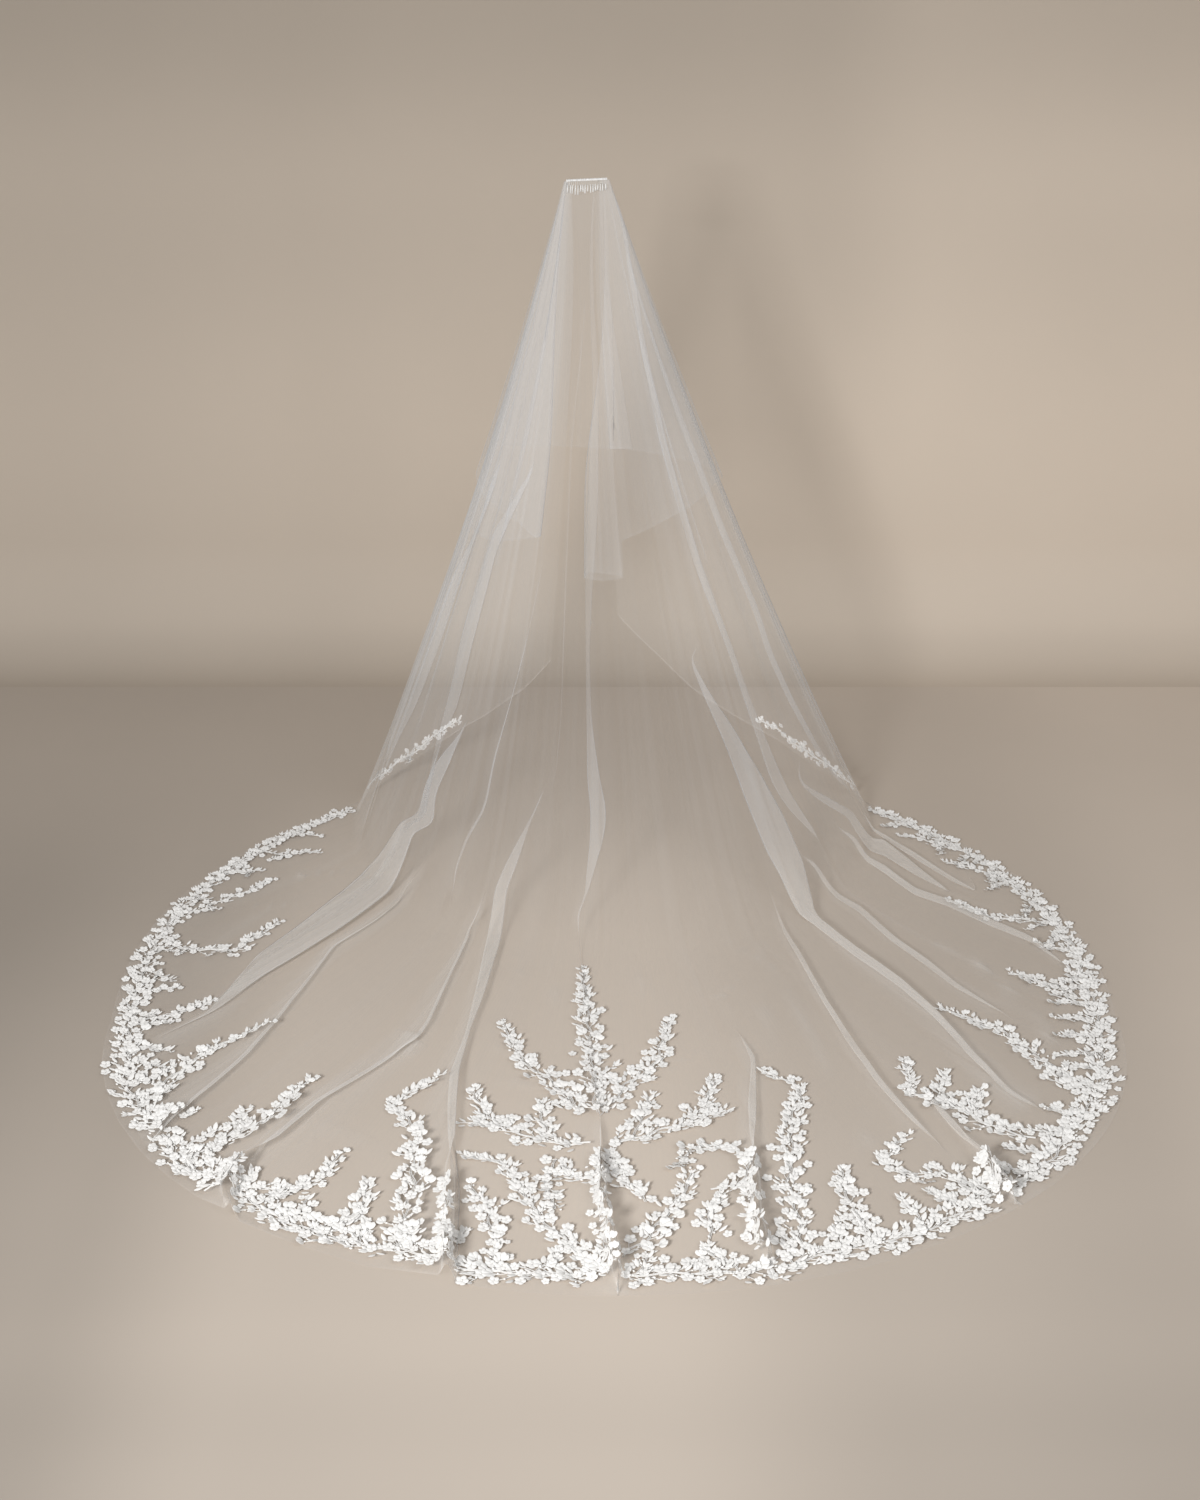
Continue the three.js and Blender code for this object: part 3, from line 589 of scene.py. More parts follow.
def addNode(tree, kind, settings=None, values=None, links=None):
    node = tree.nodes.new(kind)
    for name, value in (settings or {}).items():
        setattr(node, name, value)
    for socket, value in (values or {}).items():
        node.inputs[socket].default_value = value
    for socket, source in (links or {}).items():
        tree.links.new(source, node.inputs[socket])
    return node


def newMaterial(name):
    material = bpy.data.materials.new(name)
    material.use_nodes = True
    material.node_tree.nodes.clear()
    return material, material.node_tree


tulleLook = {
    "cover": 0.044,                        # share of light that one open layer stops, seen straight on
    "shortCover": 0.056,
    "white": "#E2E5E9",
    # Painted light: the lying train's white below is brighter and warmer, for the light the floor throws up
    # on it
    "paintedBounceWhite": "#F8F5F1",
    "netPitch": 0.004,                     # metres; a real net's 1 mm holes are too fine to show
    "streak": 0.42,                        # how much the gathers vary the cover
    "lyingFrom": (1.25, 1.75),             # metres down the cloth between which paintedBounceWhite comes in
}


# Nylon tulle, a machine-made hexagonal net: near clear face on, milky where it turns away or lies in folds
def tulleMaterial(name, cover):
    material, tree = newMaterial(name)
    cloth = addNode(tree, "ShaderNodeUVMap", {"uv_map": "cloth"}).outputs["UV"]
    density = addNode(tree, "ShaderNodeAttribute", {"attribute_name": "cover"}).outputs["Fac"]
    facing = addNode(tree, "ShaderNodeLayerWeight", values={"Blend": 0.5}).outputs["Facing"]
    cosine = addNode(tree, "ShaderNodeMath", {"operation": "SUBTRACT"}, {0: 1.0}, {1: facing})
    slant = addNode(tree, "ShaderNodeMath", {"operation": "MAXIMUM"}, {1: 0.10}, {0: cosine.outputs[0]})
    # Gathers run down the cloth: noise stretched 40 times along it
    runs = addNode(tree, "ShaderNodeMapping", values={"Scale": (75, 0.35, 1)}, links={"Vector": cloth})
    gathers = addNode(
        tree, "ShaderNodeTexNoise", values={"Scale": 1.0, "Detail": 3.0, "Roughness": 0.6},
        links={"Vector": runs.outputs[0]},
    )
    vary = tulleLook["streak"]
    streak = addNode(
        tree, "ShaderNodeMapRange",
        values={"From Min": 0.3, "From Max": 0.7, "To Min": 1 - vary, "To Max": 1 + vary},
        links={"Value": gathers.outputs["Fac"]},
    )
    mesh = addNode(
        tree, "ShaderNodeTexVoronoi", {"feature": "DISTANCE_TO_EDGE"},
        {"Scale": 1 / tulleLook["netPitch"], "Randomness": 0.35}, {"Vector": cloth},
    )
    thread = addNode(
        tree, "ShaderNodeMapRange",
        values={"From Min": 0.02, "From Max": 0.28, "To Min": 1.25, "To Max": 0.88},
        links={"Value": mesh.outputs["Distance"]},
    )
    # What the light meets on its way through: cover, gathers and threads, and more of them at a slant
    path = addNode(tree, "ShaderNodeMath", {"operation": "MULTIPLY"}, {1: cover}, {0: density})
    for operation, factor in (("MULTIPLY", streak), ("MULTIPLY", thread), ("DIVIDE", slant)):
        links = {0: path.outputs[0], 1: factor.outputs[0]}
        path = addNode(tree, "ShaderNodeMath", {"operation": operation}, None, links)
    clear = addNode(tree, "ShaderNodeMath", {"operation": "MULTIPLY"}, {1: -1.0}, {0: path.outputs[0]})
    through = addNode(tree, "ShaderNodeMath", {"operation": "EXPONENT"}, None, {0: clear.outputs[0]})
    alpha = addNode(tree, "ShaderNodeMath", {"operation": "SUBTRACT"}, {0: 1.0}, {1: through.outputs[0]})
    # Painted light: the train on the floor is painted whiter and warmer, as the floor lights it from below
    # too
    down = addNode(tree, "ShaderNodeSeparateXYZ", links={"Vector": cloth})
    start, end = tulleLook["lyingFrom"]
    lying = addNode(
        tree, "ShaderNodeMapRange", {"interpolation_type": "SMOOTHSTEP"},
        {"From Min": start, "From Max": end}, {"Value": down.outputs["Y"]},
    )
    tint = addNode(
        tree, "ShaderNodeMix", {"data_type": "RGBA"},
        {"A": colour(tulleLook["white"]), "B": colour(tulleLook["paintedBounceWhite"])},
        {"Factor": lying.outputs[0]},
    )
    shader = addNode(
        tree, "ShaderNodeBsdfPrincipled", None,
        {"Roughness": 0.75, "IOR": 1.53, "Sheen Weight": 0.15, "Sheen Roughness": 0.4},
        {"Base Color": tint.outputs["Result"], "Alpha": alpha.outputs[0]},
    )
    addNode(tree, "ShaderNodeOutputMaterial", links={"Surface": shader.outputs[0]})
    return material


longTulle.data.materials.append(tulleMaterial("nylonTulleGathered", tulleLook["cover"]))
shortTulle.data.materials.append(tulleMaterial("nylonTulleUpperLayer", tulleLook["shortCover"]))

laceLook = {
    "flower": (0.0088, 0.0126),            # radius, metres
    "leaf": (0.0120, 0.0185),              # length
    "bell": (0.0130, 0.0175),
    "bud": (0.0060, 0.0090),
    "cord": 0.0010,                        # radius of one of the two stem cords
    "cordsApart": 0.0028,
    "flowerStep": 0.0260,
    "leafStep": 0.0140,
    "twigStep": (0.011, 0.018),
    "crowd": 0.84,                         # flowers keep this share of their two radii apart
    "lengthwise": 0.70,                    # of a distance along the train, where leaning flowers need room
    "farSize": 0.80,                       # the lace is finer beside the fall than at the train's end
    "tilt": (6, 19),                       # degrees a flower stands off the net
    "white": "#EFEEEC",
    # Painted shade: the grey that the lace's hollows and middles are painted
    "hollowShade": "#BDBAB6",
}


# Each shape's tones are painted shade: greyer towards its middle or base and in its hollows
def shapeArrays(bm, tones):
    bmesh.ops.triangulate(bm, faces=bm.faces[:])
    bm.verts.index_update()
    points = np.array([v.co[:] for v in bm.verts])
    faces = np.array([[v.index for v in f.verts] for f in bm.faces])
    tone = np.array([tones(v.co) for v in bm.verts])
    bm.free()
    return points, faces, tone


# One petal or leaf is a small grid, narrowed to its outline and puffed up along its middle
def shapePetal(verts, start, wide, tip, puff, rise, blunt):
    for v in verts:
        t = v.co.x + 0.5
        across = v.co.y * 2
        outline = math.sin(math.pi * (0.10 + (0.90 - tip) * t)) ** 0.7
        v.co.x = start + (1 - start) * (t - blunt * across ** 2 * t)
        v.co.y = across * wide * outline
        v.co.z = puff * (1 - across ** 2) * math.sin(math.pi * (0.15 + 0.72 * t)) + rise * t ** 2


def puffShade(z):
    # Painted shade: the hollows between the petals are greyer than their puffed middles
    return 0.86 + 0.14 * min(1, max(0, z / 0.18))


def makePetals(outline, first=0, sweep=0, copies=0):
    # One petal, turned to its first direction, then copied round the middle; angles in degrees
    bm = bmesh.new()
    bmesh.ops.create_grid(bm, x_segments=3, y_segments=2, size=0.5)
    shapePetal(bm.verts, *outline)
    part = bm.verts[:] + bm.edges[:] + bm.faces[:]
    if first:
        start = Matrix.Rotation(math.radians(first), 3, "Z")
        bmesh.ops.rotate(bm, verts=bm.verts[:], cent=(0, 0, 0), matrix=start)
    if copies:
        angle = math.radians(sweep)
        bmesh.ops.spin(bm, geom=part, axis=(0, 0, 1), angle=angle, steps=copies, use_duplicate=True)
    return bm


def makeFlower():
    bm = makePetals((0.10, 0.43, 0.24, 0.17, 0.07, 0.15), 0, 288, 4)
    centre = bmesh.ops.create_icosphere(bm, subdivisions=1, radius=0.14)
    bmesh.ops.translate(bm, verts=centre["verts"], vec=(0, 0, 0.17))
    # Painted shade: greyer towards the flower's middle and in the hollows between its petals
    return shapeArrays(bm, lambda p: (0.70 + 0.30 * min(1, math.hypot(p.x, p.y) / 0.4)) * puffShade(p.z))


def makeLeaf():
    bm = makePetals((0.0, 0.25, 0.05, 0.12, 0.10, 0.0))
    # Painted shade: greyer towards the leaf's base
    return shapeArrays(bm, lambda p: 0.84 + 0.16 * min(1, p.x / 0.5))


def makeBell():
    bm = makePetals((0.06, 0.36, 0.26, 0.22, 0.14, 0.12), -42, 84, 2)
    # Painted shade: greyer towards the bell's middle
    return shapeArrays(bm, lambda p: 0.72 + 0.28 * min(1, p.length / 0.5))


def makeBud():
    bm = bmesh.new()
    bmesh.ops.create_icosphere(bm, subdivisions=1, radius=0.5)
    bmesh.ops.scale(bm, verts=bm.verts[:], vec=(1.0, 0.62, 0.55))
    bmesh.ops.translate(bm, verts=bm.verts[:], vec=(0.5, 0, 0.2))
    # Painted shade: greyer towards the bud's base
    return shapeArrays(bm, lambda p: 0.86 + 0.14 * min(1, p.x))


def makeCord():
    bm = bmesh.new()
    bmesh.ops.create_cone(bm, segments=4, radius1=1, radius2=1, depth=1, cap_ends=False)
    bmesh.ops.rotate(bm, verts=bm.verts[:], cent=(0, 0, 0), matrix=Matrix.Rotation(math.radians(90), 3, "Y"))
    return shapeArrays(bm, lambda p: 0.92)


shapes = {
    "flower": makeFlower(),
    "leaf": makeLeaf(),
    "bell": makeBell(),
    "bud": makeBud(),
    "cord": makeCord(),
}

laceRandom = np.random.default_rng(11)


def turned(direction, degrees):
    a = math.radians(degrees)
    c, s = math.cos(a), math.sin(a)
    return np.array([direction[0] * c - direction[1] * s, direction[0] * s + direction[1] * c])


def pick(pair):
    return laceRandom.uniform(*pair)


class Garland:
    # Lace laid out flat on a chart: lists of shapes, each with place, direction, size and tilt
    def __init__(self, flowers=None):
        self.items = {kind: [] for kind in shapes}
        self.flowers = [] if flowers is None else flowers

    def add(self, kind, place, direction, size, tilt=0.0, wide=1.0, lift=0.0006):
        self.items[kind].append((*place, *direction, size, tilt, wide, lift))

    def isFree(self, place, radius, crowd):
        for x, y, r in reversed(self.flowers):
            if math.hypot(x - place[0], laceLook["lengthwise"] * (y - place[1])) < crowd * (r + radius):
                return False
        return True

    def flower(self, place, radius, crowd):
        if self.isFree(place, radius, crowd):
            self.flowers.append((*place, radius))
            out = turned((1.0, 0.0), laceRandom.uniform(0, 72))
            self.add("flower", place, out, radius, pick(laceLook["tilt"]), 1.0, 0.0010)

    def cluster(self, place, direction, radius):
        # One to three flowers that touch
        self.flower(place, radius, laceLook["crowd"])
        for side in (-1, 1):
            if laceRandom.random() < 0.42:
                beside = turned(direction, side * pick((50, 110)))
                small = radius * pick((0.75, 0.95))
                self.flower(place + beside * (radius + small) * 0.86, small, laceLook["crowd"])

    def cord(self, line, thick=1.0):
        for a, b in zip(line, line[1:]):
            span = b - a
            length = float(np.linalg.norm(span))
            if length > 1e-5:
                self.add("cord", (a + b) / 2, span / length, length * 1.08, 0.0, thick, 0.0011)

    def twig(self, place, direction, length, bend, size, head):
        # A curved twig with its head; returns its leaves, which are laid when all flowers have their place
        line = [np.array(place)]
        heading = np.array(direction)
        steps = max(3, int(length / 0.005))
        leaves = []
        for k in range(steps):
            heading = turned(heading, bend / steps)
            line.append(line[-1] + heading * length / steps)
            if k % 2 == 0 and 0 < k < steps - 1:
                side = 1 if k % 4 == 0 else -1
                kind = "bud" if laceRandom.random() < 0.4 else "leaf"
                leaves.append((kind, line[-1], turned(heading, side * pick((28, 50))), 0.8 * size))
        self.cord(line, 0.85)
        if head == "flower":
            self.cluster(line[-1], heading, pick(laceLook["flower"]) * size)
        elif head == "bell":
            self.add("bell", line[-1], heading, pick(laceLook["bell"]) * size, pick((6, 20)))
        else:
            leaves += [("leaf", line[-1], turned(heading, side), size * 0.9) for side in (-40, 0, 40)]
        return leaves

    def spray(self, path, wide, tipShare=0.22, full=1.0):
        # path runs from the tip to the root; wide is the half width at the tip and at the root
        path = np.array(path, float)
        spans = np.linalg.norm(np.diff(path, axis=0), axis=1)
        run = np.concatenate([[0], np.cumsum(spans)])
        length = run[-1]
        fine = np.linspace(0, length, max(6, int(length / 0.005)))
        line = np.stack([np.interp(fine, run, path[:, i]) for i in range(2)], 1)
        for _ in range(10):
            line[1:-1] = (line[:-2] + 2 * line[1:-1] + line[2:]) / 4
        wave = np.sin(fine / 0.045 * math.pi + laceRandom.uniform(0, 6)) * 0.004
        ahead = unit(np.gradient(line, axis=0))
        side = np.stack([-ahead[:, 1], ahead[:, 0]], 1)
        line = line + side * wave[:, None] * smooth(fine, 0, 0.08)[:, None]
        ahead = unit(np.gradient(line, axis=0))
        side = np.stack([-ahead[:, 1], ahead[:, 0]], 1)
        gap = laceLook["cordsApart"] / 2
        self.cord(line + side * gap)
        self.cord(line - side * gap)
        at = lambda d: (
            np.array([np.interp(d, fine, line[:, i]) for i in range(2)]),
            unit(np.array([np.interp(d, fine, ahead[:, i]) for i in range(2)])),
        )
        tip, root = wide
        halfAt = lambda d: tip + (root - tip) * smooth(d / length, 0, 0.75)
        sizeAt = lambda place: 1 - (1 - laceLook["farSize"]) * smooth(place[1], -1.7, -0.4)
        leaves = []
        d, hand = 0.002, 1
        while d < length:
            # Twigs to the left and right in turn; their heads are bells at the tip and flowers further down
            place, heading = at(d)
            size = sizeAt(place) * (0.72 + 0.28 * smooth(d / length, 0, 2 * tipShare))
            chance = laceRandom.random()
            flowery = 0.10 + 0.35 * smooth(d / length, tipShare, tipShare + 0.4)
            head = "flower" if chance < flowery else "bell" if chance < flowery + 0.30 else "leaves"
            out = turned(-heading, -hand * pick((24, 60)))
            long = halfAt(d) * pick((0.35, 0.95)) + 0.003
            leaves += self.twig(place, out, long, hand * pick((0, 40)), size, head)
            d += pick(laceLook["twigStep"]) / full
            hand = -hand
        d = tipShare * length
        while d < length:
            # Flowers on the stem itself, and some in the widest part beside it
            place, heading = at(d)
            normal = np.array([-heading[1], heading[0]])
            spot = place + normal * hand * halfAt(d) * pick((0.0, 0.55))
            self.cluster(spot, -heading, pick(laceLook["flower"]) * sizeAt(place))
            d += laceLook["flowerStep"] * pick((0.7, 1.5)) / full
            hand = -hand
        d = 0.004
        while d < length:
            place, heading = at(d)
            kind = "bud" if laceRandom.random() < 0.25 else "leaf"
            for hand in (-1, 1):
                out = turned(-heading, -hand * pick((22, 58)))
                leaves.append((kind, place + out * halfAt(d) * pick((0.02, 0.7)), out, sizeAt(place)))
            d += laceLook["leafStep"] / full
        for kind, place, out, size in leaves:
            long = pick(laceLook[kind]) * size
            if self.isFree(place + out * long * 0.6, 0, 0.8):
                self.add(kind, place, out, long, pick((4, 22)), pick((0.85, 1.2)))


def settle(tree, place, outward):
    # The outermost layer of tulle at a place, and its normal there; rays start above it
    above, down = 0.07, 0.16
    points, normals = [], []
    for p, n in zip(place, outward):
        hit, normal, _, _ = tree.ray_cast(Vector(p + n * above), Vector(-n), down)
        if hit is None:
            hit, normal = Vector(p), Vector(n)
        if normal.dot(Vector(n)) < 0:
            normal = -normal
        points.append(hit[:])
        normals.append(normal[:])
    return np.array(points), np.array(normals)


def layLace(garland, chart):
    # Chart to space: arrays of points, triangles and tones for every shape of a garland
    allPoints, allFaces, allTones = [], [], []
    count = 0
    hemward = np.array([0.0, -1.0, 0.0])
    for kind, items in garland.items.items():
        if not items:
            continue
        table = np.array(items)
        place, heading = table[:, :2], table[:, 2:4]
        size, tilt, wide, lift = table[:, 4], np.radians(table[:, 5]), table[:, 6], table[:, 7]
        spots, outward = chart(place)
        step = 0.006
        ahead, _ = chart(place + heading * step)
        normal = unit(outward)
        along = ahead - spots
        along = unit(along - normal * np.sum(along * normal, axis=1, keepdims=True))
        across = np.cross(normal, along)
        # A tilted shape rises towards the far end of its own direction
        c, s = np.cos(tilt)[:, None], np.sin(tilt)[:, None]
        if kind == "flower":
            # Flowers stand up a little towards the hem's outer side, as the cords pull the net there
            lean = unit(hemward - normal * (normal @ hemward)[:, None])
            faceNormal = unit(normal * c + lean * s)
            along = unit(along - faceNormal * np.sum(along * faceNormal, axis=1, keepdims=True))
            across = np.cross(faceNormal, along)
            rise = size * np.sin(tilt) * 0.55
        else:
            faceNormal = unit(normal * c - along * s)
            along = unit(along * c + normal * s)
            rise = 0 * size
        points, faces, tone = shapes[kind]
        if kind == "cord":
            axes = [along * size[:, None], across * laceLook["cord"] * wide[:, None],
                    faceNormal * laceLook["cord"] * wide[:, None]]
        else:
            axes = [along * size[:, None], across * (size * wide)[:, None], faceNormal * size[:, None]]
        matrix = np.stack(axes, 1)
        spots = spots + normal * (lift + rise)[:, None]
        moved = np.einsum("pk,nkj->npj", points, matrix) + spots[:, None, :]
        allPoints.append(moved.reshape(-1, 3))
        index = faces[None] + (np.arange(len(items)) * len(points))[:, None, None] + count
        allFaces.append(index.reshape(-1, 3))
        # Painted shade of each shape, times a random tone for each
        shade = tone[None] * laceRandom.uniform(0.94, 1.0, (len(items), 1))
        allTones.append(shade.reshape(-1))
        count += len(items) * len(points)
    return np.concatenate(allPoints), np.concatenate(allFaces), np.concatenate(allTones)


def makeLacePiece(name, parts, node):
    points = np.concatenate([p[0] for p in parts])
    shift = np.cumsum([0] + [len(p[0]) for p in parts[:-1]])
    faces = np.concatenate([p[1] + k for p, k in zip(parts, shift)])
    tones = np.concatenate([p[2] for p in parts])
    floorTop = -veil["drop"] - veil["start"] + 0.0002
    points[:, 2] = np.maximum(points[:, 2], floorTop)
    mesh = bpy.data.meshes.new(name)
    mesh.vertices.add(len(points))
    mesh.vertices.foreach_set("co", points.astype(np.float32).ravel())
    mesh.loops.add(len(faces) * 3)
    mesh.loops.foreach_set("vertex_index", faces.astype(np.int32).ravel())
    mesh.polygons.add(len(faces))
    mesh.polygons.foreach_set("loop_start", np.arange(0, len(faces) * 3, 3, dtype=np.int32))
    mesh.update(calc_edges=True)
    mesh.attributes.new("tone", "FLOAT", "POINT").data.foreach_set("value", tones.astype(np.float32))
    mesh.shade_smooth()
    piece = linkPiece(name, mesh)
    piece.data.materials.append(laceWhite)
    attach(piece, "root")
    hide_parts(node)
    lacePieces.append(piece)


# Machine-sewn viscose embroidery and cord on net: matt white, a faint thread sheen, painted shade in the
# hollows
def cordedLace():
    material, tree = newMaterial("viscoseCordedLace")
    # tone carries the lace's painted shade, greyer in hollows and towards middles and bases
    tone = addNode(tree, "ShaderNodeAttribute", {"attribute_name": "tone"}).outputs["Fac"]
    spot = addNode(tree, "ShaderNodeTexCoord").outputs["Object"]
    # Satin-stitch threads about 0.4 mm apart, drawn 1 mm so that they show close up
    thread = addNode(
        tree, "ShaderNodeTexNoise", values={"Scale": 900.0, "Detail": 2.0, "Roughness": 0.6},
        links={"Vector": spot},
    )
    shade = addNode(
        tree, "ShaderNodeMapRange",
        values={"From Min": 0.3, "From Max": 0.7, "To Min": 0.93, "To Max": 1.03},
        links={"Value": thread.outputs["Fac"]},
    )
    both = addNode(tree, "ShaderNodeMath", {"operation": "MULTIPLY", "use_clamp": True}, None,
                   {0: tone, 1: shade.outputs[0]})
    tint = addNode(
        tree, "ShaderNodeMix", {"data_type": "RGBA"},
        {"A": colour(laceLook["hollowShade"]), "B": colour(laceLook["white"])}, {"Factor": both.outputs[0]},
    )
    bump = addNode(
        tree, "ShaderNodeBump", values={"Strength": 0.5, "Distance": 0.0004},
        links={"Height": thread.outputs["Fac"]},
    )
    shader = addNode(
        tree, "ShaderNodeBsdfPrincipled", None, {"Roughness": 0.62, "IOR": 1.53, "Sheen Weight": 0.15},
        {"Base Color": tint.outputs["Result"], "Normal": bump.outputs[0]},
    )
    addNode(tree, "ShaderNodeOutputMaterial", links={"Surface": shader.outputs[0]})
    return material


laceWhite = cordedLace()
lacePieces = []
layerTree = BVHTree.FromPolygons(
    [tuple(p) for p in trainPoints.reshape(-1, 3).tolist()],
    [tuple(p.vertices) for p in longTulle.data.polygons],
)
print("tulle ready for the lace")


def floorChart(place):
    spots = np.concatenate([place, np.full((len(place), 1), -veil["drop"])], 1)
    return settle(layerTree, spots, np.tile(np.array([0.0, 0.0, 1.0]), (len(place), 1)))


# Stems of the lace on the floor: photo pixels from tip to root, and the half widths in metres
stems = {
    "lace_centre": [
        ([(583, 970), (585, 1000), (590, 1040), (594, 1080), (596, 1118)], (0.012, 0.054)),
    ],
    "lace_fan_left": [([(503, 1024), (524, 1064), (554, 1084), (584, 1114)], (0.012, 0.045))],
    "lace_fan_right": [([(670, 1020), (655, 1066), (625, 1086), (605, 1114)], (0.012, 0.045))],
    "lace_scroll_left": [
        ([(473, 1092), (482, 1112), (508, 1130), (540, 1141), (590, 1148)], (0.014, 0.050)),
        ([(468, 1124), (490, 1122), (516, 1132)], (0.018, 0.040)),
        ([(543, 1104), (542, 1122), (548, 1138)], (0.014, 0.034)),
    ],
    "lace_scroll_right": [
        ([(714, 1080), (706, 1104), (690, 1124), (650, 1134), (612, 1145)], (0.014, 0.050)),
        ([(724, 1112), (700, 1118), (680, 1126)], (0.018, 0.040)),
        ([(649, 1098), (641, 1116), (636, 1136)], (0.014, 0.034)),
    ],
    "lace_branch_left": [
        ([(567, 1168), (575, 1180), (599, 1186), (601, 1156)], (0.020, 0.030)),
        ([(465, 1157), (500, 1162), (519, 1184), (535, 1213), (559, 1237), (591, 1256)], (0.012, 0.038)),
        ([(471, 1189), (489, 1208), (492, 1240)], (0.018, 0.034)),
        ([(555, 1210), (545, 1180), (558, 1160)], (0.020, 0.034)),
    ],
    "lace_branch_right": [
        ([(610, 1154), (626, 1184), (647, 1203)], (0.018, 0.036)),
        ([(693, 1173), (682, 1195), (666, 1216), (647, 1240), (622, 1258)], (0.020, 0.040)),
        ([(695, 1150), (730, 1149), (749, 1162), (749, 1184), (712, 1192)], (0.010, 0.022)),
        ([(725, 1195), (709, 1216), (712, 1240)], (0.020, 0.030)),
        ([(678, 1168), (690, 1150), (712, 1146)], (0.020, 0.016)),
    ],
    "lace_spray_left_1": [
        ([(440, 1081), (391, 1103), (417, 1132), (412, 1162), (414, 1190), (404, 1220), (400, 1255)],
         (0.012, 0.050)),
    ],
    "lace_spray_right_1": [
        ([(765, 1073), (803, 1090), (790, 1124), (792, 1152), (788, 1183), (798, 1215), (802, 1250)],
         (0.012, 0.050)),
    ],
    "lace_spray_left_2": [([(369, 1183), (358, 1213), (330, 1235)], (0.014, 0.040))],
    "lace_spray_right_2": [([(842, 1172), (849, 1203), (862, 1235)], (0.014, 0.040))],
    "lace_spray_left_3": [
        ([(340, 1155), (320, 1180), (290, 1193), (244, 1188), (205, 1196)], (0.012, 0.045)),
    ],
    "lace_spray_right_3": [
        ([(905, 1137), (882, 1160), (903, 1178), (949, 1174), (984, 1203)], (0.012, 0.045)),
    ],
    "lace_spray_left_4": [
        ([(312, 1081), (290, 1100), (268, 1124), (210, 1152), (172, 1158)], (0.012, 0.048)),
        ([(244, 1111), (240, 1125), (225, 1142)], (0.012, 0.035)),
    ],
    "lace_spray_right_4": [
        ([(905, 1061), (913, 1096), (964, 1111), (985, 1126), (1035, 1140)], (0.012, 0.048)),
        ([(979, 1091), (975, 1105), (980, 1122)], (0.012, 0.035)),
        ([(944, 1074), (940, 1090), (950, 1106)], (0.012, 0.030)),
    ],
    "lace_spray_left_5": [([(269, 1029), (213, 1049), (172, 1077), (150, 1102)], (0.012, 0.045))],
    "lace_spray_right_5": [([(942, 1009), (1002, 1032), (1056, 1070), (1075, 1095)], (0.012, 0.045))],
    "lace_spray_left_6": [([(210, 1002), (172, 1016), (140, 1022)], (0.012, 0.042))],
    "lace_spray_right_6": [([(1012, 974), (1053, 986), (1080, 1000)], (0.012, 0.042))],
    "lace_spray_left_7": [
        ([(279, 923), (233, 952), (178, 950)], (0.012, 0.040)),
        ([(272, 881), (245, 893), (215, 903)], (0.012, 0.030)),
        ([(318, 853), (295, 853), (270, 862)], (0.010, 0.024)),
    ],
    "lace_spray_right_7": [
        ([(949, 901), (984, 917), (1035, 922)], (0.012, 0.040)),
        ([(946, 863), (985, 872), (1010, 885)], (0.012, 0.030)),
        ([(898, 836), (925, 840), (950, 850)], (0.010, 0.024)),
    ],
}
# The same for the lace that climbs the standing folds at the hem
ridges = {
    "lace_border_centre_left": [([(599, 1158), (600, 1200), (606, 1244), (611, 1280)], (0.007, 0.012))],
    "lace_border_left": [([(446, 1190), (444, 1235), (442, 1272)], (0.008, 0.013))],
    "lace_border_centre_right": [([(749, 1190), (752, 1225), (761, 1258)], (0.009, 0.015))],
    "lace_border_right": [([(981, 1165), (996, 1188), (1005, 1202)], (0.009, 0.013))],
    "lace_border_left_side": [([(239, 1174), (229, 1188), (222, 1199)], (0.009, 0.012))],
}
# The border's own line along the hem; its pieces, each up to a hem azimuth, meet in the standing folds
border = {
    "inset": (0.028, 0.056),               # of its middle line from the hem, at its ends and at the front
    "wave": 0.007,
    "half": (0.024, 0.054),
    "ends": 151,
    "sprigStep": 0.085,                    # metres along the hem between the sprigs that grow inwards
    "sprigLong": (0.045, 0.085),
    "pieces": (
        (-145, "lace_edge_left"), (-46.8, "lace_border_left_side"), (-17, "lace_border_left"),
        (0.3, "lace_border_centre_left"), (15.8, "lace_border_centre_right"), (44.5, "lace_border_right"),
        (145, "lace_border_right_side"), (999, "lace_edge_right"),
    ),
}


def borderInset(turn):
    atEnds, atFront = border["inset"]
    return atEnds + (atFront - atEnds) * smooth(turn, border["ends"], 40)


def splitGarland(garland):
    # A garland along the hem, cut into one for each of the border's nodes
    cut = {}
    for kind, items in garland.items.items():
        for item in items:
            turn = math.degrees(math.atan2(item[0] - veil["hemCentre"][0], veil["hemCentre"][1] - item[1]))
            node = next(name for limit, name in border["pieces"] if turn < limit)
            cut.setdefault(node, Garland()).items[kind].append(item)
    return cut


laceParts = defaultdict(list)
hemGarland = Garland()
for hand in (-1, 1):
    turns = np.linspace(border["ends"], 0, 160)
    wave = border["wave"] * smooth(turns, border["ends"], 40) * np.sin(turns / 3.1)
    hemGarland.spray(hemPoint(hand * turns, borderInset(turns) + wave), border["half"], 0.01, 1.5)
    turn = 2.0
    while turn < border["ends"] - 4:
        lean = hand * pick((-3.5, 3.5))
        long = pick(border["sprigLong"]) * (1 - 0.5 * turn / border["ends"])
        across = hand * turn + lean * np.array([1.0, 0.5, 0.0])
        reach = borderInset(turn) + np.array([long + 0.03, long * 0.5 + 0.02, 0.0])
        hemGarland.spray(hemPoint(across, reach), (0.007, 0.020), 0.3)
        turn += border["sprigStep"] / veil["hemRadius"] * 57.3 * pick((0.7, 1.4))
for node, garland in splitGarland(hemGarland).items():
    laceParts[node].append(layLace(garland, floorChart))

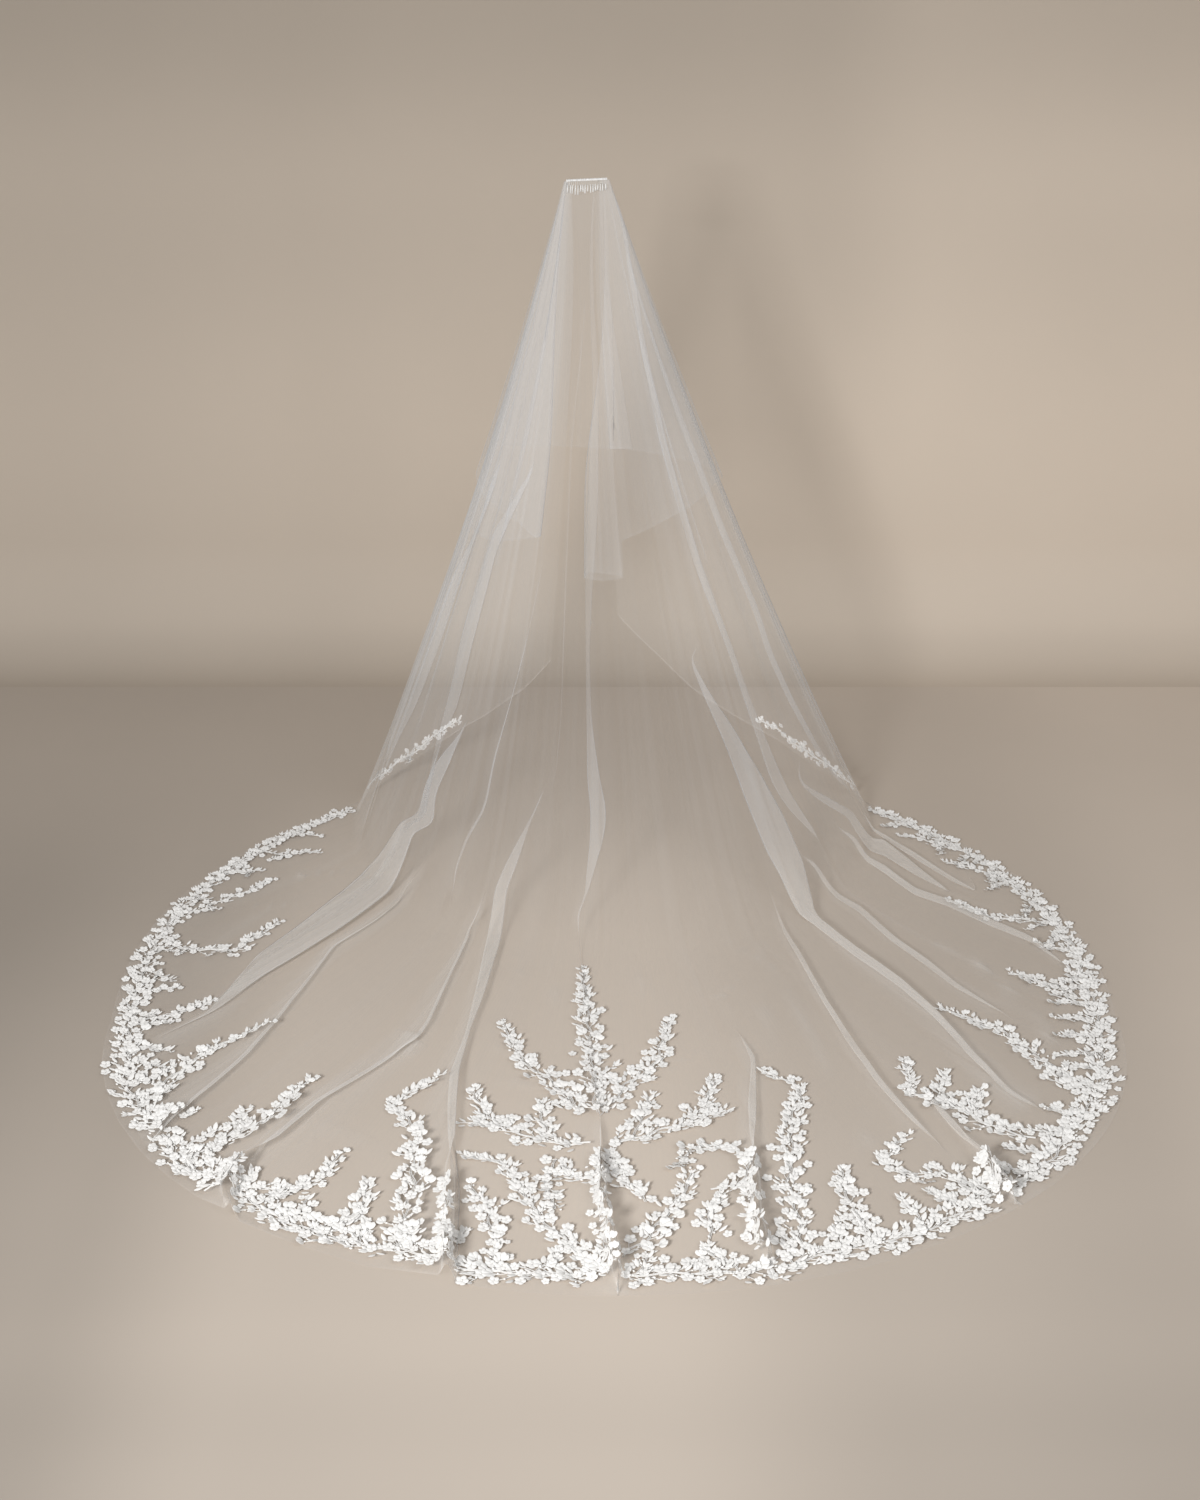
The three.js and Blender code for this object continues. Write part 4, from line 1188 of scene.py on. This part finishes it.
# Sprays keep clear of each other's flowers and the border's; the ridges' lace lies over both
for table, taken, tipShare in ((stems, hemGarland.flowers, 0.22), (ridges, None, 0.1)):
    for node, sprays in table.items():
        garland = Garland(taken)
        for pixels, wide in sprays:
            garland.spray(photoPath(pixels), wide, tipShare)
        laceParts[node].append(layLace(garland, floorChart))
print("lace on the floor laid")

# The band climbs the cutaway edge on both sides, from the foot of the fall
edgeTurns = np.linspace(0, 1, 120) * 45
for hand, name in ((-1, "lace_edge_left"), (1, "lace_edge_right")):
    turns = hand * (veil["touch"] + edgeTurns)
    brim = trainForm(turns, np.full(len(turns), 2.0))[0]
    run = np.concatenate([[0], np.cumsum(np.linalg.norm(np.diff(brim, axis=0), axis=1))])

    def edgeChart(place, hand=hand, run=run):
        turns = hand * (veil["touch"] + 0.05 + np.interp(place[:, 0], run, edgeTurns))
        edge = np.interp(np.abs(turns), cutawayEdge["azimuth"], cutawayEdge["drop"])
        part = np.clip(1 - place[:, 1] / edge, 0, 1)
        share = fallShare(np.abs(turns))
        s = np.where(part < share, part / share, 1 + (part - share) / (1 - share))
        spots, outward = trainForm(turns, s)
        return settle(layerTree, spots, outward)

    garland = Garland()
    length = run[-1]
    middle = [(length - 0.012 - k * (length - 0.03) / 12, 0.034 + 0.004 * math.sin(k)) for k in range(13)]
    garland.spray(middle, (0.014, 0.034), 0.12, 1.2)
    laceParts[name].append(layLace(garland, edgeChart))

for node, parts in laceParts.items():
    makeLacePiece(node.replace("lace_", "applique_"), parts, node)
total = sum(len(p.data.polygons) for p in lacePieces)
print("lace pieces", len(lacePieces), "triangles", total)

# The gathered heading: tulle rolled over the comb's spine and stitched, with its gathers in tufts below
heading = {
    "half": 0.0475,
    "over": 0.0034,                        # top of the roll above the comb's middle
    "under": 0.0014,
    "thick": 0.0030,
    "tufts": 16,
    "tuftFrom": 0.0090,                    # top of the tufts below the comb's middle
    "tuftOut": 0.0132,
    "tuftLong": (0.015, 0.023),
    "tuftWide": (0.0016, 0.0021),
}


def combLine(x):
    return math.tan(math.radians(veil["comb"]["tilt"])) * x


def makeHeading():
    bm = bmesh.new()
    bmesh.ops.create_grid(bm, x_segments=150, y_segments=14, size=1)
    for v in bm.verts:
        across, t = v.co.x, (v.co.y + 1) / 2
        x = across * heading["half"]
        pinch = 0.0005 * math.sin(97 * across + 2 * math.sin(31 * across)) + 0.0003 * math.sin(211 * across)
        turn = math.pi * min(max((t - 0.2) / 0.6, 0), 1)
        y = -math.cos(turn) * (heading["thick"] + pinch)
        z = heading["over"] * math.sin(turn) * 0.92 + pinch
        if t < 0.2 or t > 0.8:
            hang = (0.2 - t if t < 0.2 else t - 0.8) / 0.2
            z = -heading["under"] * hang
            y = math.copysign(heading["thick"] + pinch * (1 + hang) + 0.0004 * hang, y)
        v.co = (x, y, z + combLine(x))
    bmesh.ops.recalc_face_normals(bm, faces=bm.faces[:])
    for k in range(heading["tufts"]):
        across = -0.93 + 1.86 * (k + random.uniform(-0.15, 0.15)) / (heading["tufts"] - 1)
        long = random.uniform(*heading["tuftLong"]) * (1 if across < 0.35 else 0.75)
        wide = random.uniform(*heading["tuftWide"])
        lean = random.uniform(-0.12, 0.12)
        made = bmesh.ops.create_cone(bm, segments=8, radius1=1, radius2=0.45, depth=1, cap_ends=True)
        for v in made["verts"]:
            low = 0.5 - v.co.z
            x = across * heading["half"] * 0.98 + v.co.x * wide + lean * low * 0.012
            y = -heading["tuftOut"] - 0.002 * low + v.co.y * 0.0010
            v.co = (x, y, -heading["tuftFrom"] - low * long + combLine(x))
    piece = makePiece("stitched_heading", bm)
    piece.data.shade_smooth()
    return piece


# Tulle gathered many times over and stitched: nearly opaque white, ribbed along its gathers, with painted
# shade in the ribs' hollows
def headingMaterial():
    material, tree = newMaterial("gatheredTulleStitched")
    spot = addNode(tree, "ShaderNodeTexCoord").outputs["Object"]
    # Gathers about 1.5 mm apart across the heading
    ribs = addNode(tree, "ShaderNodeMapping", values={"Scale": (650, 120, 60)}, links={"Vector": spot})
    noise = addNode(
        tree, "ShaderNodeTexNoise", values={"Scale": 1.0, "Detail": 3.0, "Roughness": 0.6},
        links={"Vector": ribs.outputs[0]},
    )
    alpha = addNode(
        tree, "ShaderNodeMapRange", values={"From Min": 0.3, "From Max": 0.6, "To Min": 0.6, "To Max": 1.0},
        links={"Value": noise.outputs["Fac"]},
    )
    bump = addNode(
        tree, "ShaderNodeBump", values={"Strength": 0.6, "Distance": 0.0006},
        links={"Height": noise.outputs["Fac"]},
    )
    # Painted shade: greyer where the rib noise is low, in the hollows between the gathers
    tint = addNode(
        tree, "ShaderNodeMix", {"data_type": "RGBA"}, {"A": colour("#DEDDDB"), "B": colour("#FBFBFA")},
        {"Factor": noise.outputs["Fac"]},
    )
    shader = addNode(
        tree, "ShaderNodeBsdfPrincipled", None, {"Roughness": 0.7, "IOR": 1.53, "Sheen Weight": 0.2},
        {"Base Color": tint.outputs["Result"], "Normal": bump.outputs[0], "Alpha": alpha.outputs[0]},
    )
    addNode(tree, "ShaderNodeOutputMaterial", links={"Surface": shader.outputs[0]})
    return material


stitchedHeading = makeHeading()
stitchedHeading.data.materials.append(headingMaterial())


# Injection-moulded clear polystyrene: see-through with bright edges and faint flow lines
def combMaterial():
    material, tree = newMaterial("clearPolystyreneMoulded")
    spot = addNode(tree, "ShaderNodeTexCoord").outputs["Object"]
    flow = addNode(tree, "ShaderNodeMapping", values={"Scale": (300, 300, 60)}, links={"Vector": spot})
    lines = addNode(
        tree, "ShaderNodeTexNoise", values={"Scale": 1.0, "Detail": 2.0}, links={"Vector": flow.outputs[0]},
    )
    gloss = addNode(
        tree, "ShaderNodeMapRange", values={"To Min": 0.06, "To Max": 0.22},
        links={"Value": lines.outputs["Fac"]},
    )
    bump = addNode(
        tree, "ShaderNodeBump", values={"Strength": 0.2, "Distance": 0.0002},
        links={"Height": lines.outputs["Fac"]},
    )
    shader = addNode(
        tree, "ShaderNodeBsdfPrincipled", None,
        {"Base Color": colour("#F4F1EC"), "IOR": 1.59, "Transmission Weight": 0.55},
        {"Roughness": gloss.outputs[0], "Normal": bump.outputs[0]},
    )
    addNode(tree, "ShaderNodeOutputMaterial", links={"Surface": shader.outputs[0]})
    return material


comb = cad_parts["comb"]
comb.data.materials.clear()
comb.data.materials.append(combMaterial())

for piece, node, slotName in (
    (longTulle, "train_layer", "tulle"),
    (shortTulle, "short_layer", "tulle"),
    (stitchedHeading, "gathered_heading", "gathered_tulle"),
):
    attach(piece, "root")
    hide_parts(node)

# A plain studio: pale floor and a sweep behind it that can be seen from its front only
studio = {
    "floor": "#D4C8BB",
    "wall": "#D1C4B5",
    # Painted light and shade along one axis: metres, then share of the full colour
    # Painted shade across the wall, with a soft painted shadow of the veil to its right
    "wallAcross": (
        (-1.6, 0.76), (-0.86, 0.81), (-0.45, 0.85), (0.1, 0.85), (0.6, 0.88), (1.0, 1.0), (1.6, 0.98),
    ),
    "wallUp": ((-1.552, 0.90), (-1.5, 0.92), (-1.42, 0.97), (-0.9, 1.03), (-0.22, 0.92), (0.35, 0.74)),
    "floorBack": ((-1.35, 0.71), (-0.7, 0.76), (0.1, 0.82), (0.84, 0.87), (1.5, 1.0)),
    # A painted pool of light on the front floor, around its middle
    "floorFront": (
        (-1.35, 0.57), (-0.9, 0.70), (-0.55, 0.94), (0.1, 1.05), (0.52, 0.88), (1.0, 0.81), (1.4, 0.98),
    ),
    "floorAlong": ((-3.2, 0.67), (-2.7, 0.80), (-2.35, 0.93), (-1.9, 1.0), (1.3, 1.0)),
    "frontFrom": (0.35, -0.9),             # y between which floorBack gives way to floorFront
    "sweepStart": 0.92,
    "sweepRadius": 0.34,
    "worldColour": "#F1F1F1",
    "worldStrength": 0.41,
    "key": {"place": (-1.95, -6.9, 1.00), "power": 350.0, "size": 1.0, "aim": (0.1, -0.5, -0.8)},
    "fill": {"place": (3.0, -5.0, 2.6), "power": 60.0, "size": 2.5, "aim": (0.2, -0.3, -0.8)},
}


def makeStage():
    floorTop = -veil["drop"] - veil["start"] - 0.0004
    bm = bmesh.new()
    bmesh.ops.create_grid(bm, x_segments=24, y_segments=24, size=14)
    bmesh.ops.translate(bm, verts=bm.verts[:], vec=(0, -1, floorTop))
    floor = makePiece("studio_floor", bm)
    bm = bmesh.new()
    bmesh.ops.create_grid(bm, x_segments=2, y_segments=60, size=1)
    start, radius = studio["sweepStart"], studio["sweepRadius"]
    for v in bm.verts:
        t = (v.co.y + 1) / 2
        if t < 0.5:
            turn = t / 0.5 * math.pi / 2
            y = start + radius * math.sin(turn)
            z = floorTop + 0.0003 + radius * (1 - math.cos(turn))
        else:
            y = start + radius
            z = floorTop + radius + (t - 0.5) / 0.5 * 6
        v.co = (v.co.x * 7, y, z)
    sweep = makePiece("studio_sweep", bm)
    sweep.data.shade_smooth()
    return floor, sweep


# Painted studio cover, rolled on: matt, with a slow drift of tone and its ramps of painted light and shade.
# The sweep is clear from behind.
def stageMaterial(name, tint, shades, oneSided):
    material, tree = newMaterial(name)
    spot = addNode(tree, "ShaderNodeTexCoord").outputs["Object"]
    axes = addNode(tree, "ShaderNodeSeparateXYZ", links={"Vector": spot})
    cloud = addNode(tree, "ShaderNodeTexNoise", values={"Scale": 1.3, "Detail": 3.0}, links={"Vector": spot})
    drift = addNode(
        tree, "ShaderNodeMapRange", values={"To Min": 0.96, "To Max": 1.04},
        links={"Value": cloud.outputs["Fac"]},
    )
    ramps = []
    for axis, stops in shades:
        low, high = stops[0][0], stops[-1][0]
        along = addNode(
            tree, "ShaderNodeMapRange", values={"From Min": low, "From Max": high},
            links={"Value": axes.outputs[axis]},
        )
        ramp = addNode(tree, "ShaderNodeValToRGB", links={"Fac": along.outputs[0]})
        ramp.color_ramp.interpolation = "EASE"
        while len(ramp.color_ramp.elements) < len(stops):
            ramp.color_ramp.elements.new(0.5)
        for element, (place, value) in zip(ramp.color_ramp.elements, stops):
            element.position = (place - low) / (high - low)
            element.color = (value, value, value, 1)
        ramps.append(ramp.outputs["Color"])
    if oneSided:
        shade = addNode(
            tree, "ShaderNodeMix", {"data_type": "RGBA", "blend_type": "MULTIPLY"}, {"Factor": 1.0},
            {"A": ramps[0], "B": ramps[1]},
        )
    else:
        start, end = studio["frontFrom"]
        front = addNode(
            tree, "ShaderNodeMapRange", {"interpolation_type": "SMOOTHSTEP"},
            {"From Min": start, "From Max": end}, {"Value": axes.outputs["Y"]},
        )
        across = addNode(
            tree, "ShaderNodeMix", {"data_type": "RGBA"}, None,
            {"Factor": front.outputs[0], "A": ramps[0], "B": ramps[1]},
        )
        shade = addNode(
            tree, "ShaderNodeMix", {"data_type": "RGBA", "blend_type": "MULTIPLY"}, {"Factor": 1.0},
            {"A": across.outputs["Result"], "B": ramps[2]},
        )
    mixed = addNode(
        tree, "ShaderNodeMix", {"data_type": "RGBA", "blend_type": "MULTIPLY"},
        {"Factor": 1.0, "A": colour(tint)}, {"B": shade.outputs["Result"]},
    )
    base = addNode(
        tree, "ShaderNodeMix", {"data_type": "RGBA", "blend_type": "MULTIPLY"}, {"Factor": 1.0},
        {"A": mixed.outputs["Result"], "B": drift.outputs[0]},
    )
    shader = addNode(
        tree, "ShaderNodeBsdfPrincipled", None, {"Roughness": 0.9}, {"Base Color": base.outputs["Result"]},
    )
    surface = shader.outputs[0]
    if oneSided:
        behind = addNode(tree, "ShaderNodeNewGeometry").outputs["Backfacing"]
        clear = addNode(tree, "ShaderNodeBsdfTransparent")
        surface = addNode(
            tree, "ShaderNodeMixShader", None, None, {0: behind, 1: surface, 2: clear.outputs[0]},
        ).outputs[0]
    addNode(tree, "ShaderNodeOutputMaterial", links={"Surface": surface})
    return material


floor, sweep = makeStage()
floorShades = (("X", studio["floorBack"]), ("X", studio["floorFront"]), ("Y", studio["floorAlong"]))
wallShades = (("X", studio["wallAcross"]), ("Z", studio["wallUp"]))
floor.data.materials.append(stageMaterial("paintedFloor", studio["floor"], floorShades, False))
sweep.data.materials.append(stageMaterial("paintedSweep", studio["wall"], wallShades, True))

scene = bpy.context.scene
world = bpy.data.worlds.new("studio")
scene.world = world
world.use_nodes = True
background = world.node_tree.nodes["Background"]
background.inputs["Color"].default_value = colour(studio["worldColour"])
background.inputs["Strength"].default_value = studio["worldStrength"]


def addLight(name, place, power, size, aim):
    # A square soft box
    light = bpy.data.lights.new(name, "AREA")
    light.energy = power
    light.size = size
    lamp = bpy.data.objects.new(name, light)
    lamp.location = place
    lamp.rotation_euler = (Vector(aim) - Vector(place)).to_track_quat("-Z", "Y").to_euler()
    scene.collection.objects.link(lamp)


for name in ("key", "fill"):
    addLight(name, **studio[name])

camera = bpy.data.objects.new("camera", bpy.data.cameras.new("camera"))
camera.data.lens = view["lens"]
camera.data.sensor_width = view["sensor"]
camera.location = view["at"]
camera.rotation_euler = (math.radians(90 - view["tiltDown"]), 0, 0)
scene.collection.objects.link(camera)
scene.camera = camera
scene.view_settings.view_transform = "Standard"
scene.cycles.transparent_max_bounces = 32
